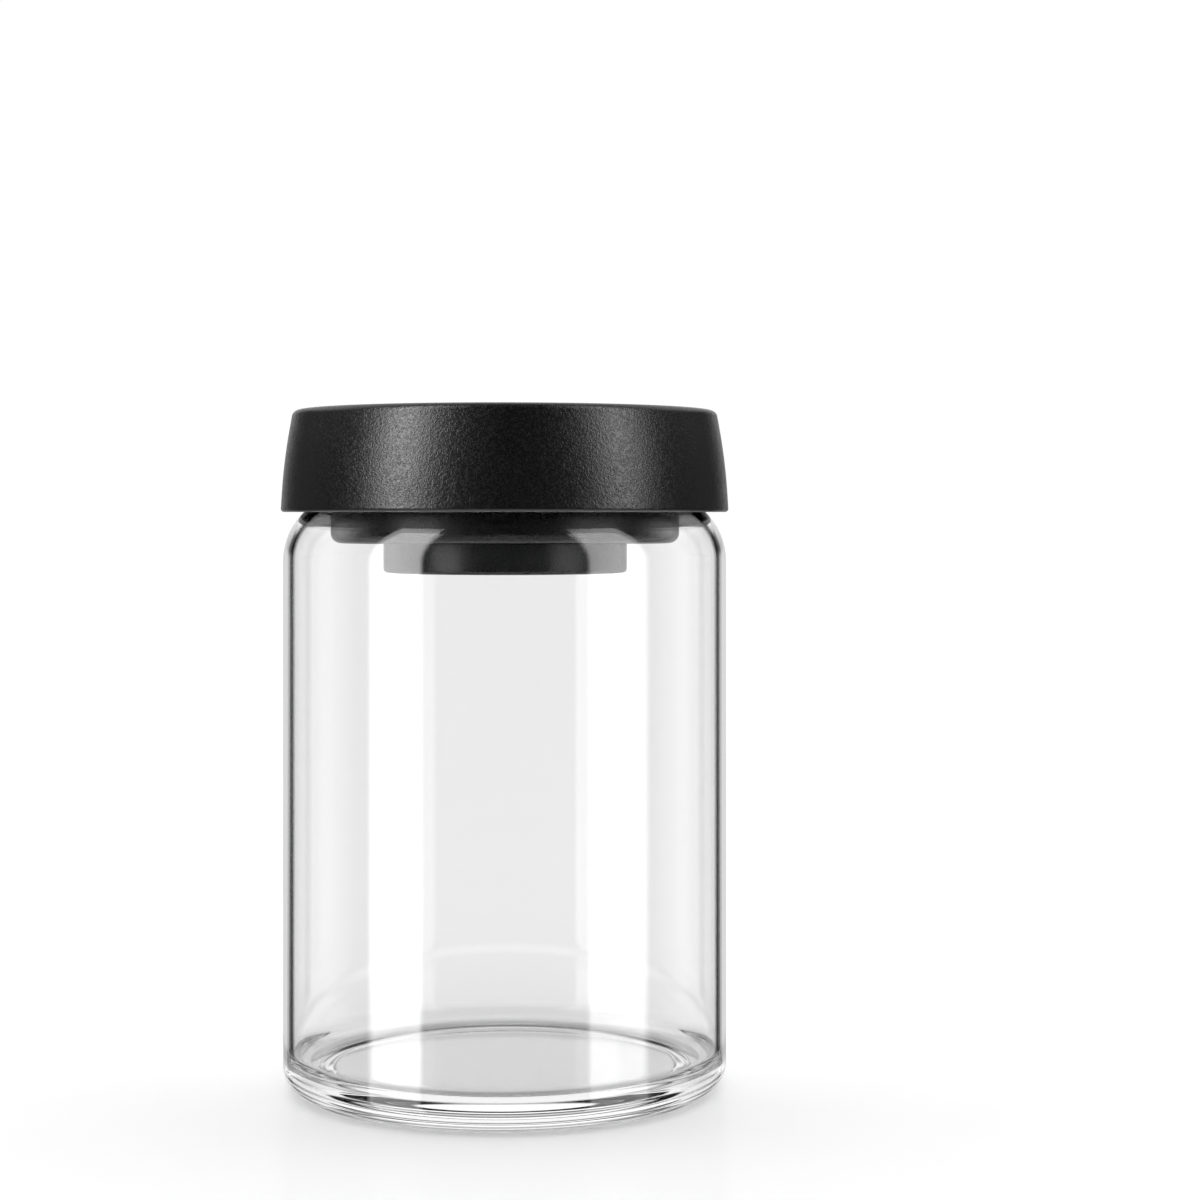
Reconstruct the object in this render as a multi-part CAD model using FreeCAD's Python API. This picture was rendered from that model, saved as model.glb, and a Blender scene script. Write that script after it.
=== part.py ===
import FreeCAD
import Part
import math
import os

# Vacuum seal canister: a glass jar and a lid with a hand pump and a release valve.
# Millimetres, +Z up, origin at the centre of the foot, release button towards -X.

V = FreeCAD.Vector

# Glass jar
jar_radius = 52.4
jar_height = 145.0
glass_wall = 2.2
heel_radius = 6.2
floor_thickness = 6.5
floor_corner = 4.4
rest_ring_width = 2.2
push_up = 2.25
push_up_slope = 3.7
push_up_round = 2.0
shoulder_drop = 20.5
shoulder_radius = 16.0
neck_step = 6.7
rim_round = 0.8

# Lid shell
skirt_overhang = 0.6
skirt_depth = 9.0
skirt_wall = 2.6
skirt_edge_round = 0.6
side_swell_radius = 130.0
side_taper_share = 0.27
lid_taper = 2.9
rim_width = 3.7
rim_outer_round = 1.7
lip_round = 1.2
deck_above_rim = 1.6
recess_depth = 13.4
collar_gap = 1.1
recess_wall = 2.2
channel_top_below_rim = 5.0
channel_top_width = 1.8
ledge_thickness = 2.6
ledge_gap = 5.4
rib_count = 12
rib_thickness = 1.6

# Deck plate
deck_thickness = 2.5
deck_clearance = 0.2
bead_inset = 1.65
bead_width = 0.7
bead_height = 0.3
well_radius = 5.8
well_depth = 1.2
peg_radius = 1.2
peg_length = 2.1
peg_inset = 4.0
peg_angles = (20, 90, 160, 200, 270, 340)

# Plug and sealing ring
plug_gap = 2.2
plug_depth = 16.0
plug_corner = 2.5
plug_floor = 2.2
plug_wall = 3.0
plug_inner_corner = 1.0
groove_depth = 1.0
groove_height = 4.0
lip_gap = 0.3
lip_count = 3
lip_rise_share = 0.45
lip_land_share = 0.2
sleeve_wall = 0.6
flange_thickness = 1.2
flange_inset = 0.3

# Screws from the ledge into the plug
screw_angles = (45, 135, 225, 315)
screw_inset = 5.7
screw_shank = 1.25
screw_head = 2.6
screw_head_height = 1.5
screw_length = 10.6
screw_boss = 3.2
screw_slot = 0.7
screw_slot_depth = 0.6
screw_slot_length = 3.2

# Pump
pump_stroke = 9.0
button_proud = 2.8
button_round = 2.7
button_wall = 1.6
button_top = 1.8
button_clearance = 0.3
boss_radius = 3.8
piston_flange = 1.5
stroke_spare = 1.3
piston_web = 2.0
piston_wall = 3.6
piston_corner = 1.0
piston_stop_gap = 0.2
spigot_height = 3.0
spigot_wall = 2.4
seal_groove_depth = 2.3
seal_groove_height = 3.2
seal_groove_rise = 1.7
cup_lean = 0.85
cup_land = 0.75
cup_lip = 0.5
cup_wall = 0.85
cup_valley = 0.35
cup_web = 1.25
cylinder_wall = 1.9
cylinder_floor = 2.5
bore_corner = 0.5
cylinder_top_gap = 0.5
housing_flange = 3.8
housing_depth = 7.3
housing_corner = 1.0
nut_width = 2.6
nut_height = 3.0
nut_notches = 6
nut_notch = 2.4
gasket_wire = 0.54
gasket_groove = 1.4
gasket_groove_depth = 1.1
gasket_offset = 2.1
spring_wire = 1.2
spring_valve_gap = 3.0
spring_turns = 6
spring_collar_wall = 2.2
spring_collar_gap = 0.6
spring_collar_height = 2.5
button_screw_shank = 1.45
button_screw_length = 12.0
button_screw_head = 2.7
button_screw_head_height = 1.8
hex_socket = 1.25
washer_radius = 3.4
washer_thickness = 0.8

# Inlet valve on the cylinder floor
umbrella_radius = 5.6
umbrella_edge = 0.5
umbrella_rise = 1.2
umbrella_stem = 1.0
umbrella_bulb = 1.7
bulb_tip = 1.0
bulb_sink = 0.25
bulb_pocket = 2.4
bulb_pocket_depth = 1.3
inlet_count = 6
inlet_radius = 0.6
inlet_circle = 3.8

# Release valve
release_inset = 7.6
release_radius = 3.94
release_stroke = 3.0
release_proud = 2.5
release_wall = 0.84
release_roof = 2.6
release_dish = 0.7
release_rim_radius = 3.3
release_skirt = 4.6
release_clearance = 0.25
ledge_clearance = 0.5
stem_radius = 1.1
stem_flange = 1.55
stem_flange_height = 0.6
stem_socket = 1.1
valve_radius = 2.9
valve_thickness = 1.6
valve_taper = 0.45
valve_side_gap = 0.6
valve_pocket_gap = 0.5
valve_pocket_depth = 2.6
valve_hole_gap = 0.15
clip_radius = 2.0
clip_thickness = 0.5
clip_groove = 0.3
clip_mouth = 1.4
stem_tail = 0.3
vent_boss_wall = 0.9
vent_boss_height = 2.4
guide_spigot = 1.1
guide_spigot_wall = 0.5
guide_flange = 3.7
guide_flange_height = 1.2
guide_bore_gap = 0.1
guide_tube_gap = 0.2
guide_wide_bore = 1.9
guide_narrow_length = 4.5
guide_top_gap = 0.6
guide_vent = 1.4
guide_vent_height = 2.1
guide_vent_rise = 0.35
release_wire = 0.4
release_spring_radius = 2.2
release_spring_turns = 4

# Fits shared by the pieces
slide_fit = 0.3
seal_fit = 0.1
close_fit = 0.05

# Radii that follow from the sizes above
neck_radius = jar_radius - neck_step
bore_radius = neck_radius - glass_wall
skirt_radius = jar_radius + skirt_overhang
lid_top_radius = skirt_radius - lid_taper
lip_radius = lid_top_radius - rim_width
collar_radius = bore_radius - collar_gap
deck_seat_radius = collar_radius - recess_wall
deck_radius = deck_seat_radius - deck_clearance
plug_radius = bore_radius - plug_gap
groove_radius = plug_radius - groove_depth
peg_circle = deck_radius - peg_inset
screw_circle = plug_radius - screw_inset
release_offset = deck_radius - release_inset
valve_pocket_radius = valve_radius + valve_pocket_gap
vent_boss_radius = valve_pocket_radius + vent_boss_wall
housing_radius = release_offset - valve_radius - valve_side_gap
cylinder_radius = housing_radius - housing_flange
cylinder_bore = cylinder_radius - cylinder_wall
ledge_inner_radius = cylinder_radius + ledge_gap
piston_radius = cylinder_bore - slide_fit
button_radius = piston_radius - piston_flange
spring_radius = umbrella_radius + spring_valve_gap + spring_wire / 2

# Heights that follow from the sizes above
shoulder_start = jar_height - shoulder_drop
skirt_bottom = jar_height - skirt_depth
deck_top = jar_height + deck_above_rim
lid_top = deck_top + recess_depth
channel_top = lid_top - channel_top_below_rim
deck_bottom = deck_top - deck_thickness
ledge_bottom = deck_bottom - ledge_thickness
flange_top = jar_height + flange_thickness
plug_bottom = jar_height - plug_depth
plug_floor_top = plug_bottom + plug_floor
groove_bottom = ledge_bottom - groove_height
housing_bottom = plug_bottom - housing_depth
cylinder_floor_top = housing_bottom + cylinder_floor
piston_top = deck_bottom - piston_stop_gap
piston_web_bottom = piston_top - piston_web
piston_bottom = cylinder_floor_top + stroke_spare + pump_stroke
button_top_height = deck_top + button_proud + pump_stroke
valve_top = plug_bottom + valve_pocket_depth
valve_bottom = valve_top - valve_thickness
vent_boss_top = valve_top + vent_boss_height
release_top = deck_top + release_proud + release_stroke
release_roof_bottom = release_top - release_roof
release_bottom = deck_top - release_skirt
guide_top = deck_bottom - guide_top_gap

release_place = V(-release_offset, 0, 0)


def lathe(*corners):
    """Solid turned about Z from (radius, height) or (radius, height, rounding) corners."""
    points = [V(corner[0], 0, corner[1]) for corner in corners]
    count = len(points)
    entries = []
    leaves = []
    arcs = []
    for index, corner in enumerate(corners):
        point = points[index]
        if len(corner) == 2:
            entries.append(point)
            leaves.append(point)
            arcs.append(None)
            continue
        rounding = corner[2]
        back = (points[index - 1] - point).normalize()
        ahead = (points[(index + 1) % count] - point).normalize()
        half = back.getAngle(ahead) / 2
        reach = rounding / math.tan(half)
        entry = point + back * reach
        leave = point + ahead * reach
        middle = point + (back + ahead).normalize() * (rounding / math.sin(half) - rounding)
        entries.append(entry)
        leaves.append(leave)
        arcs.append(Part.Arc(entry, middle, leave))
    edges = []
    for index in range(count):
        if arcs[index]:
            edges.append(arcs[index].toShape())
        following = entries[(index + 1) % count]
        if (following - leaves[index]).Length > 1e-6:
            edges.append(Part.LineSegment(leaves[index], following).toShape())
    face = Part.Face(Part.Wire(edges))
    return face.revolve(V(0, 0, 0), V(0, 0, 1), 360)


def rod(radius, bottom, top, place=V(0, 0, 0)):
    """Upright cylinder between two heights."""
    return Part.makeCylinder(radius, top - bottom, V(place.x, place.y, bottom))


def bar(length, width, bottom, top):
    """Upright block centred on the Z axis."""
    return Part.makeBox(length, width, top - bottom, V(-length / 2, -width / 2, bottom))


def around(angle, radius):
    """Point on a circle about the Z axis."""
    turn = math.radians(angle)
    return V(radius * math.cos(turn), radius * math.sin(turn), 0)


def turned(shape, angle):
    """Copy of a shape turned about the Z axis."""
    copy = shape.copy()
    copy.rotate(V(0, 0, 0), V(0, 0, 1), angle)
    return copy


def moved(shape, place):
    """Copy of a shape shifted to a place."""
    copy = shape.copy()
    copy.translate(place)
    return copy


def at_release(shape):
    """Copy of a shape shifted onto the release valve's axis."""
    return moved(shape, release_place)


def bend(start, corner, end):
    """Arc from start to end whose tangents meet at the corner."""
    chord_middle = (start + end) * 0.5
    half_chord = (end - start).Length / 2
    height = (corner - chord_middle).Length
    radius = half_chord * math.hypot(half_chord, height) / height
    sagitta = radius - math.sqrt(radius * radius - half_chord * half_chord)
    middle = chord_middle + (corner - chord_middle).normalize() * sagitta
    return Part.Arc(start, middle, end).toShape()


def coil(radius, wire, bottom, top, turns):
    """Compression spring whose first and last turns flatten out on their seats."""
    low = bottom + wire / 2
    rise = top - bottom - wire
    pitch = rise / (turns - 1)

    def height(turn):
        if turn < 1:
            return pitch * turn * turn / 2
        if turn > turns - 1:
            return rise - pitch * (turns - turn) ** 2 / 2
        return pitch * (turn - 0.5)

    def slope(turn):
        return pitch * min(1.0, turn, turns - turn)

    def point(turn):
        return around(360 * turn, radius) + V(0, 0, low + height(turn))

    def tangent(turn):
        sideways = around(360 * turn + 90, 2 * math.pi * radius)
        return (sideways + V(0, 0, slope(turn))).normalize()

    edges = []
    quarters = 4 * turns
    for step in range(quarters):
        start, end = point(step / 4), point((step + 1) / 4)
        leaving, arriving = tangent(step / 4), tangent((step + 1) / 4)
        span = end - start
        both = leaving + arriving
        square = 2 * (leaving.dot(arriving) - 1)
        linear = -2 * span.dot(both)
        constant = span.dot(span)
        reach = (-linear - math.sqrt(linear * linear - 4 * square * constant)) / (2 * square)
        first = start + leaving * reach
        second = end - arriving * reach
        joint = (first + second) * 0.5
        edges.append(bend(start, first, joint))
        edges.append(bend(joint, second, end))
    section = Part.Wire(Part.Circle(point(0), tangent(0), wire / 2).toShape())
    spring = Part.Wire(edges).makePipeShell([section], True, False)
    end_gap = height(1) - wire
    print("spring of", turns, "turns, least gap between turns", round(end_gap, 2))
    return spring


def glass_jar():
    rest_radius = jar_radius - heel_radius
    wall_radius = jar_radius - glass_wall
    arc_centre = jar_radius - shoulder_radius
    neck_foot = shoulder_start + math.sqrt(shoulder_radius ** 2 - (neck_radius - arc_centre) ** 2)
    inner_radius = shoulder_radius - glass_wall
    bore_foot = shoulder_start + math.sqrt(inner_radius ** 2 - (bore_radius - arc_centre) ** 2)

    def shoulder(radius, share, foot):
        angle = math.asin((foot - shoulder_start) / radius) * share
        return V(arc_centre + radius * math.cos(angle), 0, shoulder_start + radius * math.sin(angle))

    body = lathe(
        (0, push_up),
        (rest_radius - rest_ring_width - push_up_slope, push_up, push_up_round),
        (rest_radius - rest_ring_width, 0, push_up_round),
        (jar_radius, 0, heel_radius),
        (jar_radius, shoulder_start),
        (wall_radius, shoulder_start),
        (wall_radius, floor_thickness, floor_corner),
        (0, floor_thickness),
    )
    outer_arc = Part.Arc(
        V(jar_radius, 0, shoulder_start),
        shoulder(shoulder_radius, 0.5, neck_foot),
        V(neck_radius, 0, neck_foot),
    )
    inner_arc = Part.Arc(
        V(bore_radius, 0, bore_foot),
        shoulder(inner_radius, 0.5, bore_foot),
        V(wall_radius, 0, shoulder_start),
    )
    neck_top = max(neck_foot, bore_foot)
    shoulder_edges = [
        outer_arc.toShape(),
        Part.LineSegment(V(neck_radius, 0, neck_foot), V(neck_radius, 0, neck_top + rim_round)).toShape(),
        Part.LineSegment(V(neck_radius, 0, neck_top + rim_round),
                         V(bore_radius, 0, neck_top + rim_round)).toShape(),
        Part.LineSegment(V(bore_radius, 0, neck_top + rim_round), V(bore_radius, 0, bore_foot)).toShape(),
        inner_arc.toShape(),
        Part.LineSegment(V(wall_radius, 0, shoulder_start), V(jar_radius, 0, shoulder_start)).toShape(),
    ]
    shoulder_ring = Part.Face(Part.Wire(shoulder_edges)).revolve(V(0, 0, 0), V(0, 0, 1), 360)
    neck = lathe(
        (bore_radius, neck_top + rim_round),
        (neck_radius, neck_top + rim_round),
        (neck_radius, jar_height, rim_round),
        (bore_radius, jar_height, rim_round),
    )
    return body.fuse([shoulder_ring, neck]).removeSplitter()


def recess_radius(height):
    """Radius of the recess's conical wall at a height."""
    share = (height - deck_top) / (lid_top - deck_top)
    return deck_seat_radius + (lip_radius - deck_seat_radius) * share


def lid_shell():
    channel_inner = recess_radius(channel_top) + recess_wall
    channel_outer = channel_inner + channel_top_width
    skirt_inner = skirt_radius - skirt_wall
    side_middle = (skirt_bottom + lid_top) / 2
    side_bulge = skirt_radius - (skirt_radius - lid_top_radius) * side_taper_share
    shell = lathe(
        (skirt_inner, skirt_bottom),
        (skirt_radius, skirt_bottom, skirt_edge_round),
        (side_bulge, side_middle, side_swell_radius),
        (lid_top_radius, lid_top, rim_outer_round),
        (lip_radius, lid_top, lip_round),
        (deck_seat_radius, deck_top),
        (deck_seat_radius, deck_bottom),
        (ledge_inner_radius, deck_bottom),
        (ledge_inner_radius, ledge_bottom),
        (collar_radius, ledge_bottom),
        (collar_radius, deck_top),
        (channel_inner, channel_top),
        (channel_outer, channel_top),
    )
    overlap = recess_wall / 4
    channel = lathe(
        (collar_radius - overlap, flange_top),
        (collar_radius - overlap, deck_top),
        (channel_inner - overlap, channel_top + overlap),
        (channel_outer + overlap, channel_top + overlap),
        (skirt_inner - overlap, flange_top),
    )
    rib = Part.makeBox(skirt_radius, rib_thickness, recess_depth, V(0, -rib_thickness / 2, flange_top))
    ribs = [turned(rib, 360 * (index + 0.5) / rib_count).common(channel) for index in range(rib_count)]
    holes = [rod(release_radius + ledge_clearance, ledge_bottom, deck_bottom, release_place)]
    for angle in peg_angles:
        place = around(angle, peg_circle)
        holes.append(rod(peg_radius + close_fit, ledge_bottom, deck_bottom, place))
    for angle in screw_angles:
        holes.append(moved(screw_body(close_fit, deck_bottom), around(angle, screw_circle)))
    return shell.fuse(ribs).cut(holes).removeSplitter()


def deck_plate():
    hole_radius = button_radius + button_clearance
    bead_radius = deck_radius - bead_inset
    plate = lathe(
        (hole_radius, deck_bottom),
        (deck_radius, deck_bottom),
        (deck_radius, deck_top),
        (bead_radius + bead_width / 2, deck_top),
        (bead_radius, deck_top + bead_height),
        (bead_radius - bead_width / 2, deck_top),
        (hole_radius, deck_top, bead_height),
    )
    pegs = []
    for angle in peg_angles:
        pegs.append(rod(peg_radius, deck_bottom - peg_length, deck_bottom, around(angle, peg_circle)))
    well = rod(well_radius, deck_top - well_depth, deck_top, release_place)
    hole = rod(release_radius + release_clearance, deck_bottom, deck_top, release_place)
    return plate.fuse(pegs).cut([well, hole]).removeSplitter()


def screw_body(gap, head_level):
    """Countersunk screw on the Z axis, grown by a gap to make its hole."""
    shank = screw_shank + gap
    head = screw_head + gap
    tip = head_level - screw_length - gap
    return lathe(
        (0, tip),
        (shank, tip),
        (shank, head_level - screw_head_height - gap),
        (head, head_level - gap),
        (head, head_level),
        (0, head_level),
    )


def plug_screws():
    sunk = deck_bottom - close_fit
    screw = screw_body(0, sunk)
    for angle in (0, 90):
        slot = bar(screw_slot_length, screw_slot, sunk - screw_slot_depth, sunk)
        screw = screw.cut(turned(slot, angle))
    return Part.makeCompound([moved(screw, around(angle, screw_circle)) for angle in screw_angles])


def lid_plug():
    hole_radius = cylinder_radius + close_fit
    cavity_radius = plug_radius - plug_wall
    plug = lathe(
        (hole_radius, plug_bottom),
        (plug_radius, plug_bottom, plug_corner),
        (plug_radius, groove_bottom),
        (groove_radius, groove_bottom),
        (groove_radius, ledge_bottom),
        (cavity_radius, ledge_bottom),
        (cavity_radius, plug_floor_top, plug_inner_corner),
        (hole_radius, plug_floor_top),
    )
    bosses = [rod(vent_boss_radius, plug_bottom, vent_boss_top, release_place)]
    for angle in screw_angles:
        boss = rod(screw_boss, plug_floor_top, ledge_bottom, around(angle, screw_circle))
        bosses.append(boss)
    core = rod(hole_radius, plug_bottom, ledge_bottom)
    outside = lathe(
        (0, plug_bottom),
        (plug_radius, plug_bottom, plug_corner),
        (plug_radius, groove_bottom),
        (groove_radius, groove_bottom),
        (groove_radius, ledge_bottom),
        (0, ledge_bottom),
    )
    holes = [
        core,
        rod(valve_pocket_radius, plug_bottom, valve_top, release_place),
        rod(stem_flange + valve_hole_gap, valve_top, vent_boss_top, release_place),
        rod(guide_wide_bore + guide_spigot_wall + close_fit, vent_boss_top - guide_spigot,
            vent_boss_top, release_place),
    ]
    for angle in screw_angles:
        holes.append(moved(screw_body(close_fit, deck_bottom), around(angle, screw_circle)))
    return plug.fuse([boss.common(outside) for boss in bosses]).cut(holes).removeSplitter()


def sealing_ring():
    foot = groove_radius + close_fit
    sleeve_inner = collar_radius + close_fit
    sleeve_outer = sleeve_inner + sleeve_wall
    lip_tip = bore_radius - lip_gap
    lip_root = (plug_radius + collar_radius) / 2
    lip_pitch = groove_height / lip_count
    corners = [(foot, groove_bottom)]
    for index in range(lip_count):
        level = groove_bottom + lip_pitch * index
        corners.append((lip_root, level))
        corners.append((lip_tip, level + lip_pitch * lip_rise_share))
        corners.append((lip_tip, level + lip_pitch * (lip_rise_share + lip_land_share)))
    corners += [
        (sleeve_outer, ledge_bottom),
        (sleeve_outer, jar_height),
        (neck_radius - flange_inset, jar_height),
        (neck_radius - flange_inset, flange_top),
        (sleeve_inner, flange_top),
        (sleeve_inner, ledge_bottom - close_fit),
        (foot, ledge_bottom - close_fit),
    ]
    return lathe(*corners)


def pump_cylinder():
    groove_middle = cylinder_radius + gasket_offset
    groove_inner = groove_middle - gasket_groove / 2
    groove_outer = groove_middle + gasket_groove / 2
    cylinder = lathe(
        (0, housing_bottom),
        (housing_radius, housing_bottom, housing_corner),
        (housing_radius, plug_bottom),
        (groove_outer, plug_bottom),
        (groove_outer, plug_bottom - gasket_groove_depth),
        (groove_inner, plug_bottom - gasket_groove_depth),
        (groove_inner, plug_bottom),
        (cylinder_radius, plug_bottom),
        (cylinder_radius, deck_bottom - cylinder_top_gap),
        (cylinder_bore, deck_bottom - cylinder_top_gap),
        (cylinder_bore, cylinder_floor_top, bore_corner),
        (0, cylinder_floor_top),
    )
    holes = [
        rod(bulb_pocket, housing_bottom, housing_bottom + bulb_pocket_depth),
        rod(umbrella_stem + close_fit, housing_bottom, cylinder_floor_top),
    ]
    for index in range(inlet_count):
        place = around(360 * index / inlet_count, inlet_circle)
        holes.append(rod(inlet_radius, housing_bottom, cylinder_floor_top, place))
    return cylinder.cut(holes)


def cylinder_gasket():
    middle = V(0, 0, plug_bottom - gasket_groove_depth / 2)
    return Part.makeTorus(cylinder_radius + gasket_offset, gasket_wire, middle)


def cylinder_lock_nut():
    inner = cylinder_radius + close_fit
    outer = cylinder_radius + nut_width
    top = plug_floor_top + nut_height
    nut = lathe((inner, plug_floor_top), (outer, plug_floor_top), (outer, top), (inner, top))
    notch = Part.makeBox(nut_width / 2, nut_notch, nut_height / 2,
                         V(outer - nut_width / 2, -nut_notch / 2, top - nut_height / 2))
    return nut.cut([turned(notch, 360 * (index + 0.5) / nut_notches) for index in range(nut_notches)])


def inlet_valve():
    bulb_top = housing_bottom + bulb_pocket_depth
    return lathe(
        (0, housing_bottom + bulb_sink),
        (bulb_tip, housing_bottom + bulb_sink),
        (umbrella_bulb, bulb_top),
        (umbrella_stem, bulb_top),
        (umbrella_stem, cylinder_floor_top),
        (umbrella_radius, cylinder_floor_top),
        (umbrella_radius, cylinder_floor_top + umbrella_edge),
        (umbrella_stem * 2, cylinder_floor_top + umbrella_rise),
        (0, cylinder_floor_top + umbrella_rise),
    )


def pump_button():
    inner = button_radius - button_wall
    roof = button_top_height - button_top
    cap = lathe(
        (inner, piston_top),
        (button_radius, piston_top),
        (button_radius, button_top_height, button_round),
        (0, button_top_height),
        (0, roof),
        (inner, roof, button_round - button_wall),
    )
    boss = rod(boss_radius, piston_top, roof)
    hole = rod(button_screw_shank + close_fit, piston_top, piston_web_bottom + button_screw_length)
    return cap.fuse(boss).cut(hole).removeSplitter()


def piston():
    groove_low = piston_bottom + seal_groove_rise
    groove_high = groove_low + seal_groove_height
    groove_floor = piston_radius - seal_groove_depth
    spigot_outer = button_radius - button_wall - slide_fit
    spigot_inner = spigot_outer - spigot_wall
    collar_outer = spring_radius - spring_wire / 2 - spring_collar_gap
    collar_inner = collar_outer - spring_collar_wall
    collar_bottom = piston_web_bottom - spring_collar_height
    hole = button_screw_shank + close_fit
    return lathe(
        (hole, piston_top),
        (spigot_inner, piston_top),
        (spigot_inner, piston_top + spigot_height),
        (spigot_outer, piston_top + spigot_height),
        (spigot_outer, piston_top),
        (piston_radius, piston_top),
        (piston_radius, groove_high),
        (groove_floor, groove_high),
        (groove_floor, groove_low),
        (piston_radius, groove_low),
        (piston_radius, piston_bottom),
        (piston_radius - piston_wall, piston_bottom),
        (piston_radius - piston_wall, piston_web_bottom, piston_corner),
        (collar_outer, piston_web_bottom),
        (collar_outer, collar_bottom),
        (collar_inner, collar_bottom),
        (collar_inner, piston_web_bottom),
        (hole, piston_web_bottom),
    )


def piston_seal():
    low = piston_bottom + seal_groove_rise + close_fit
    high = low + seal_groove_height - 2 * close_fit
    root = piston_radius - seal_groove_depth + close_fit
    tip = cylinder_bore - seal_fit
    return lathe(
        (root, low),
        (tip - cup_lean, low),
        (tip, high - cup_land),
        (tip, high),
        (tip - cup_lip, high),
        (root + cup_wall + cup_valley, low + cup_web),
        (root + cup_wall, low + cup_web),
        (root + cup_wall, high),
        (root, high),
    )


def button_screw():
    seat = piston_web_bottom - washer_thickness
    head_bottom = seat - button_screw_head_height
    screw = lathe(
        (0, head_bottom),
        (button_screw_head, head_bottom),
        (button_screw_head, seat),
        (button_screw_shank, seat),
        (button_screw_shank, piston_web_bottom + button_screw_length - close_fit),
        (0, piston_web_bottom + button_screw_length - close_fit),
    )
    hexagon = Part.makePolygon([around(60 * side, hex_socket) + V(0, 0, head_bottom) for side in range(7)])
    socket = Part.Face(hexagon).extrude(V(0, 0, button_screw_head_height / 2))
    return screw.cut(socket)


def button_washer():
    inner = button_screw_shank + close_fit
    bottom = piston_web_bottom - washer_thickness
    return lathe((inner, bottom), (washer_radius, bottom),
                 (washer_radius, piston_web_bottom), (inner, piston_web_bottom))


def pump_spring():
    return coil(spring_radius, spring_wire, cylinder_floor_top, piston_web_bottom, spring_turns)


def release_button():
    inner = release_radius - release_wall
    button = lathe(
        (inner, release_bottom),
        (release_radius, release_bottom),
        (release_radius, release_top - release_dish, release_dish),
        (release_rim_radius, release_top, release_dish / 3),
        (release_rim_radius / 2, release_top - release_dish, release_rim_radius),
        (0, release_top - release_dish),
        (0, release_roof_bottom),
        (inner, release_roof_bottom),
    )
    socket = rod(stem_radius + close_fit, release_roof_bottom, release_roof_bottom + stem_socket)
    return at_release(button.cut(socket))


def release_stem():
    tail = valve_bottom - clip_thickness - stem_tail
    groove = stem_radius - clip_groove
    return at_release(lathe(
        (0, tail),
        (stem_radius, tail),
        (stem_radius, valve_bottom - clip_thickness),
        (groove, valve_bottom - clip_thickness),
        (groove, valve_bottom),
        (stem_radius, valve_bottom),
        (stem_radius, valve_top),
        (stem_flange, valve_top),
        (stem_flange, valve_top + stem_flange_height),
        (stem_radius, valve_top + stem_flange_height),
        (stem_radius, release_roof_bottom + stem_socket),
        (0, release_roof_bottom + stem_socket),
    ))


def release_valve_seal():
    hole = stem_radius + close_fit
    return at_release(lathe(
        (hole, valve_bottom),
        (valve_radius - valve_taper, valve_bottom),
        (valve_radius, valve_bottom + 2 * valve_taper),
        (valve_radius, valve_top),
        (hole, valve_top),
    ))


def release_clip():
    inner = stem_radius - clip_groove + close_fit
    low = valve_bottom - clip_thickness
    ring = lathe((inner, low), (clip_radius, low), (clip_radius, valve_bottom), (inner, valve_bottom))
    mouth = Part.makeBox(clip_radius * 2, clip_mouth, clip_thickness, V(0, -clip_mouth / 2, low))
    return at_release(ring.cut(mouth))


def release_guide():
    narrow = stem_radius + guide_bore_gap
    spigot = guide_wide_bore + guide_spigot_wall
    tube = release_radius - release_wall - guide_tube_gap
    flange_top_level = vent_boss_top + guide_flange_height
    guide = lathe(
        (guide_wide_bore, vent_boss_top - guide_spigot),
        (spigot, vent_boss_top - guide_spigot),
        (spigot, vent_boss_top),
        (guide_flange, vent_boss_top),
        (guide_flange, flange_top_level),
        (tube, flange_top_level),
        (tube, guide_top),
        (narrow, guide_top),
        (narrow, guide_top - guide_narrow_length),
        (guide_wide_bore, guide_top - guide_narrow_length - guide_wide_bore + narrow),
    )
    vent_low = flange_top_level + guide_vent_rise
    vent = bar(guide_flange * 2, guide_vent, vent_low, vent_low + guide_vent_height)
    return at_release(guide.cut(vent))


def release_spring():
    return at_release(coil(release_spring_radius, release_wire, guide_top, release_roof_bottom,
                           release_spring_turns))


pieces = [
    glass_jar,
    lid_shell,
    deck_plate,
    plug_screws,
    lid_plug,
    sealing_ring,
    pump_cylinder,
    cylinder_gasket,
    cylinder_lock_nut,
    inlet_valve,
    pump_button,
    piston,
    piston_seal,
    button_screw,
    button_washer,
    pump_spring,
    release_button,
    release_stem,
    release_valve_seal,
    release_clip,
    release_guide,
    release_spring,
]

os.makedirs("parts", exist_ok=True)
for piece in pieces:
    shape = piece()
    box = shape.BoundBox
    print(piece.__name__, shape.isValid(), len(shape.Solids), round(shape.Volume, 1),
          [round(value, 2) for value in (box.XMin, box.XMax, box.YMin, box.YMax, box.ZMin, box.ZMax)])
    shape.exportStep("parts/" + piece.__name__ + ".step")
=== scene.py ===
"""Looks of a vacuum seal canister: a clear glass jar under a grained black lid with two gold buttons."""

import functools
import math

import bmesh
import bpy
from bpy.props import FloatProperty, FloatVectorProperty, IntProperty, PointerProperty
from bpy.types import Operator, Panel, PropertyGroup
from mathutils import Matrix, Vector


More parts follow.
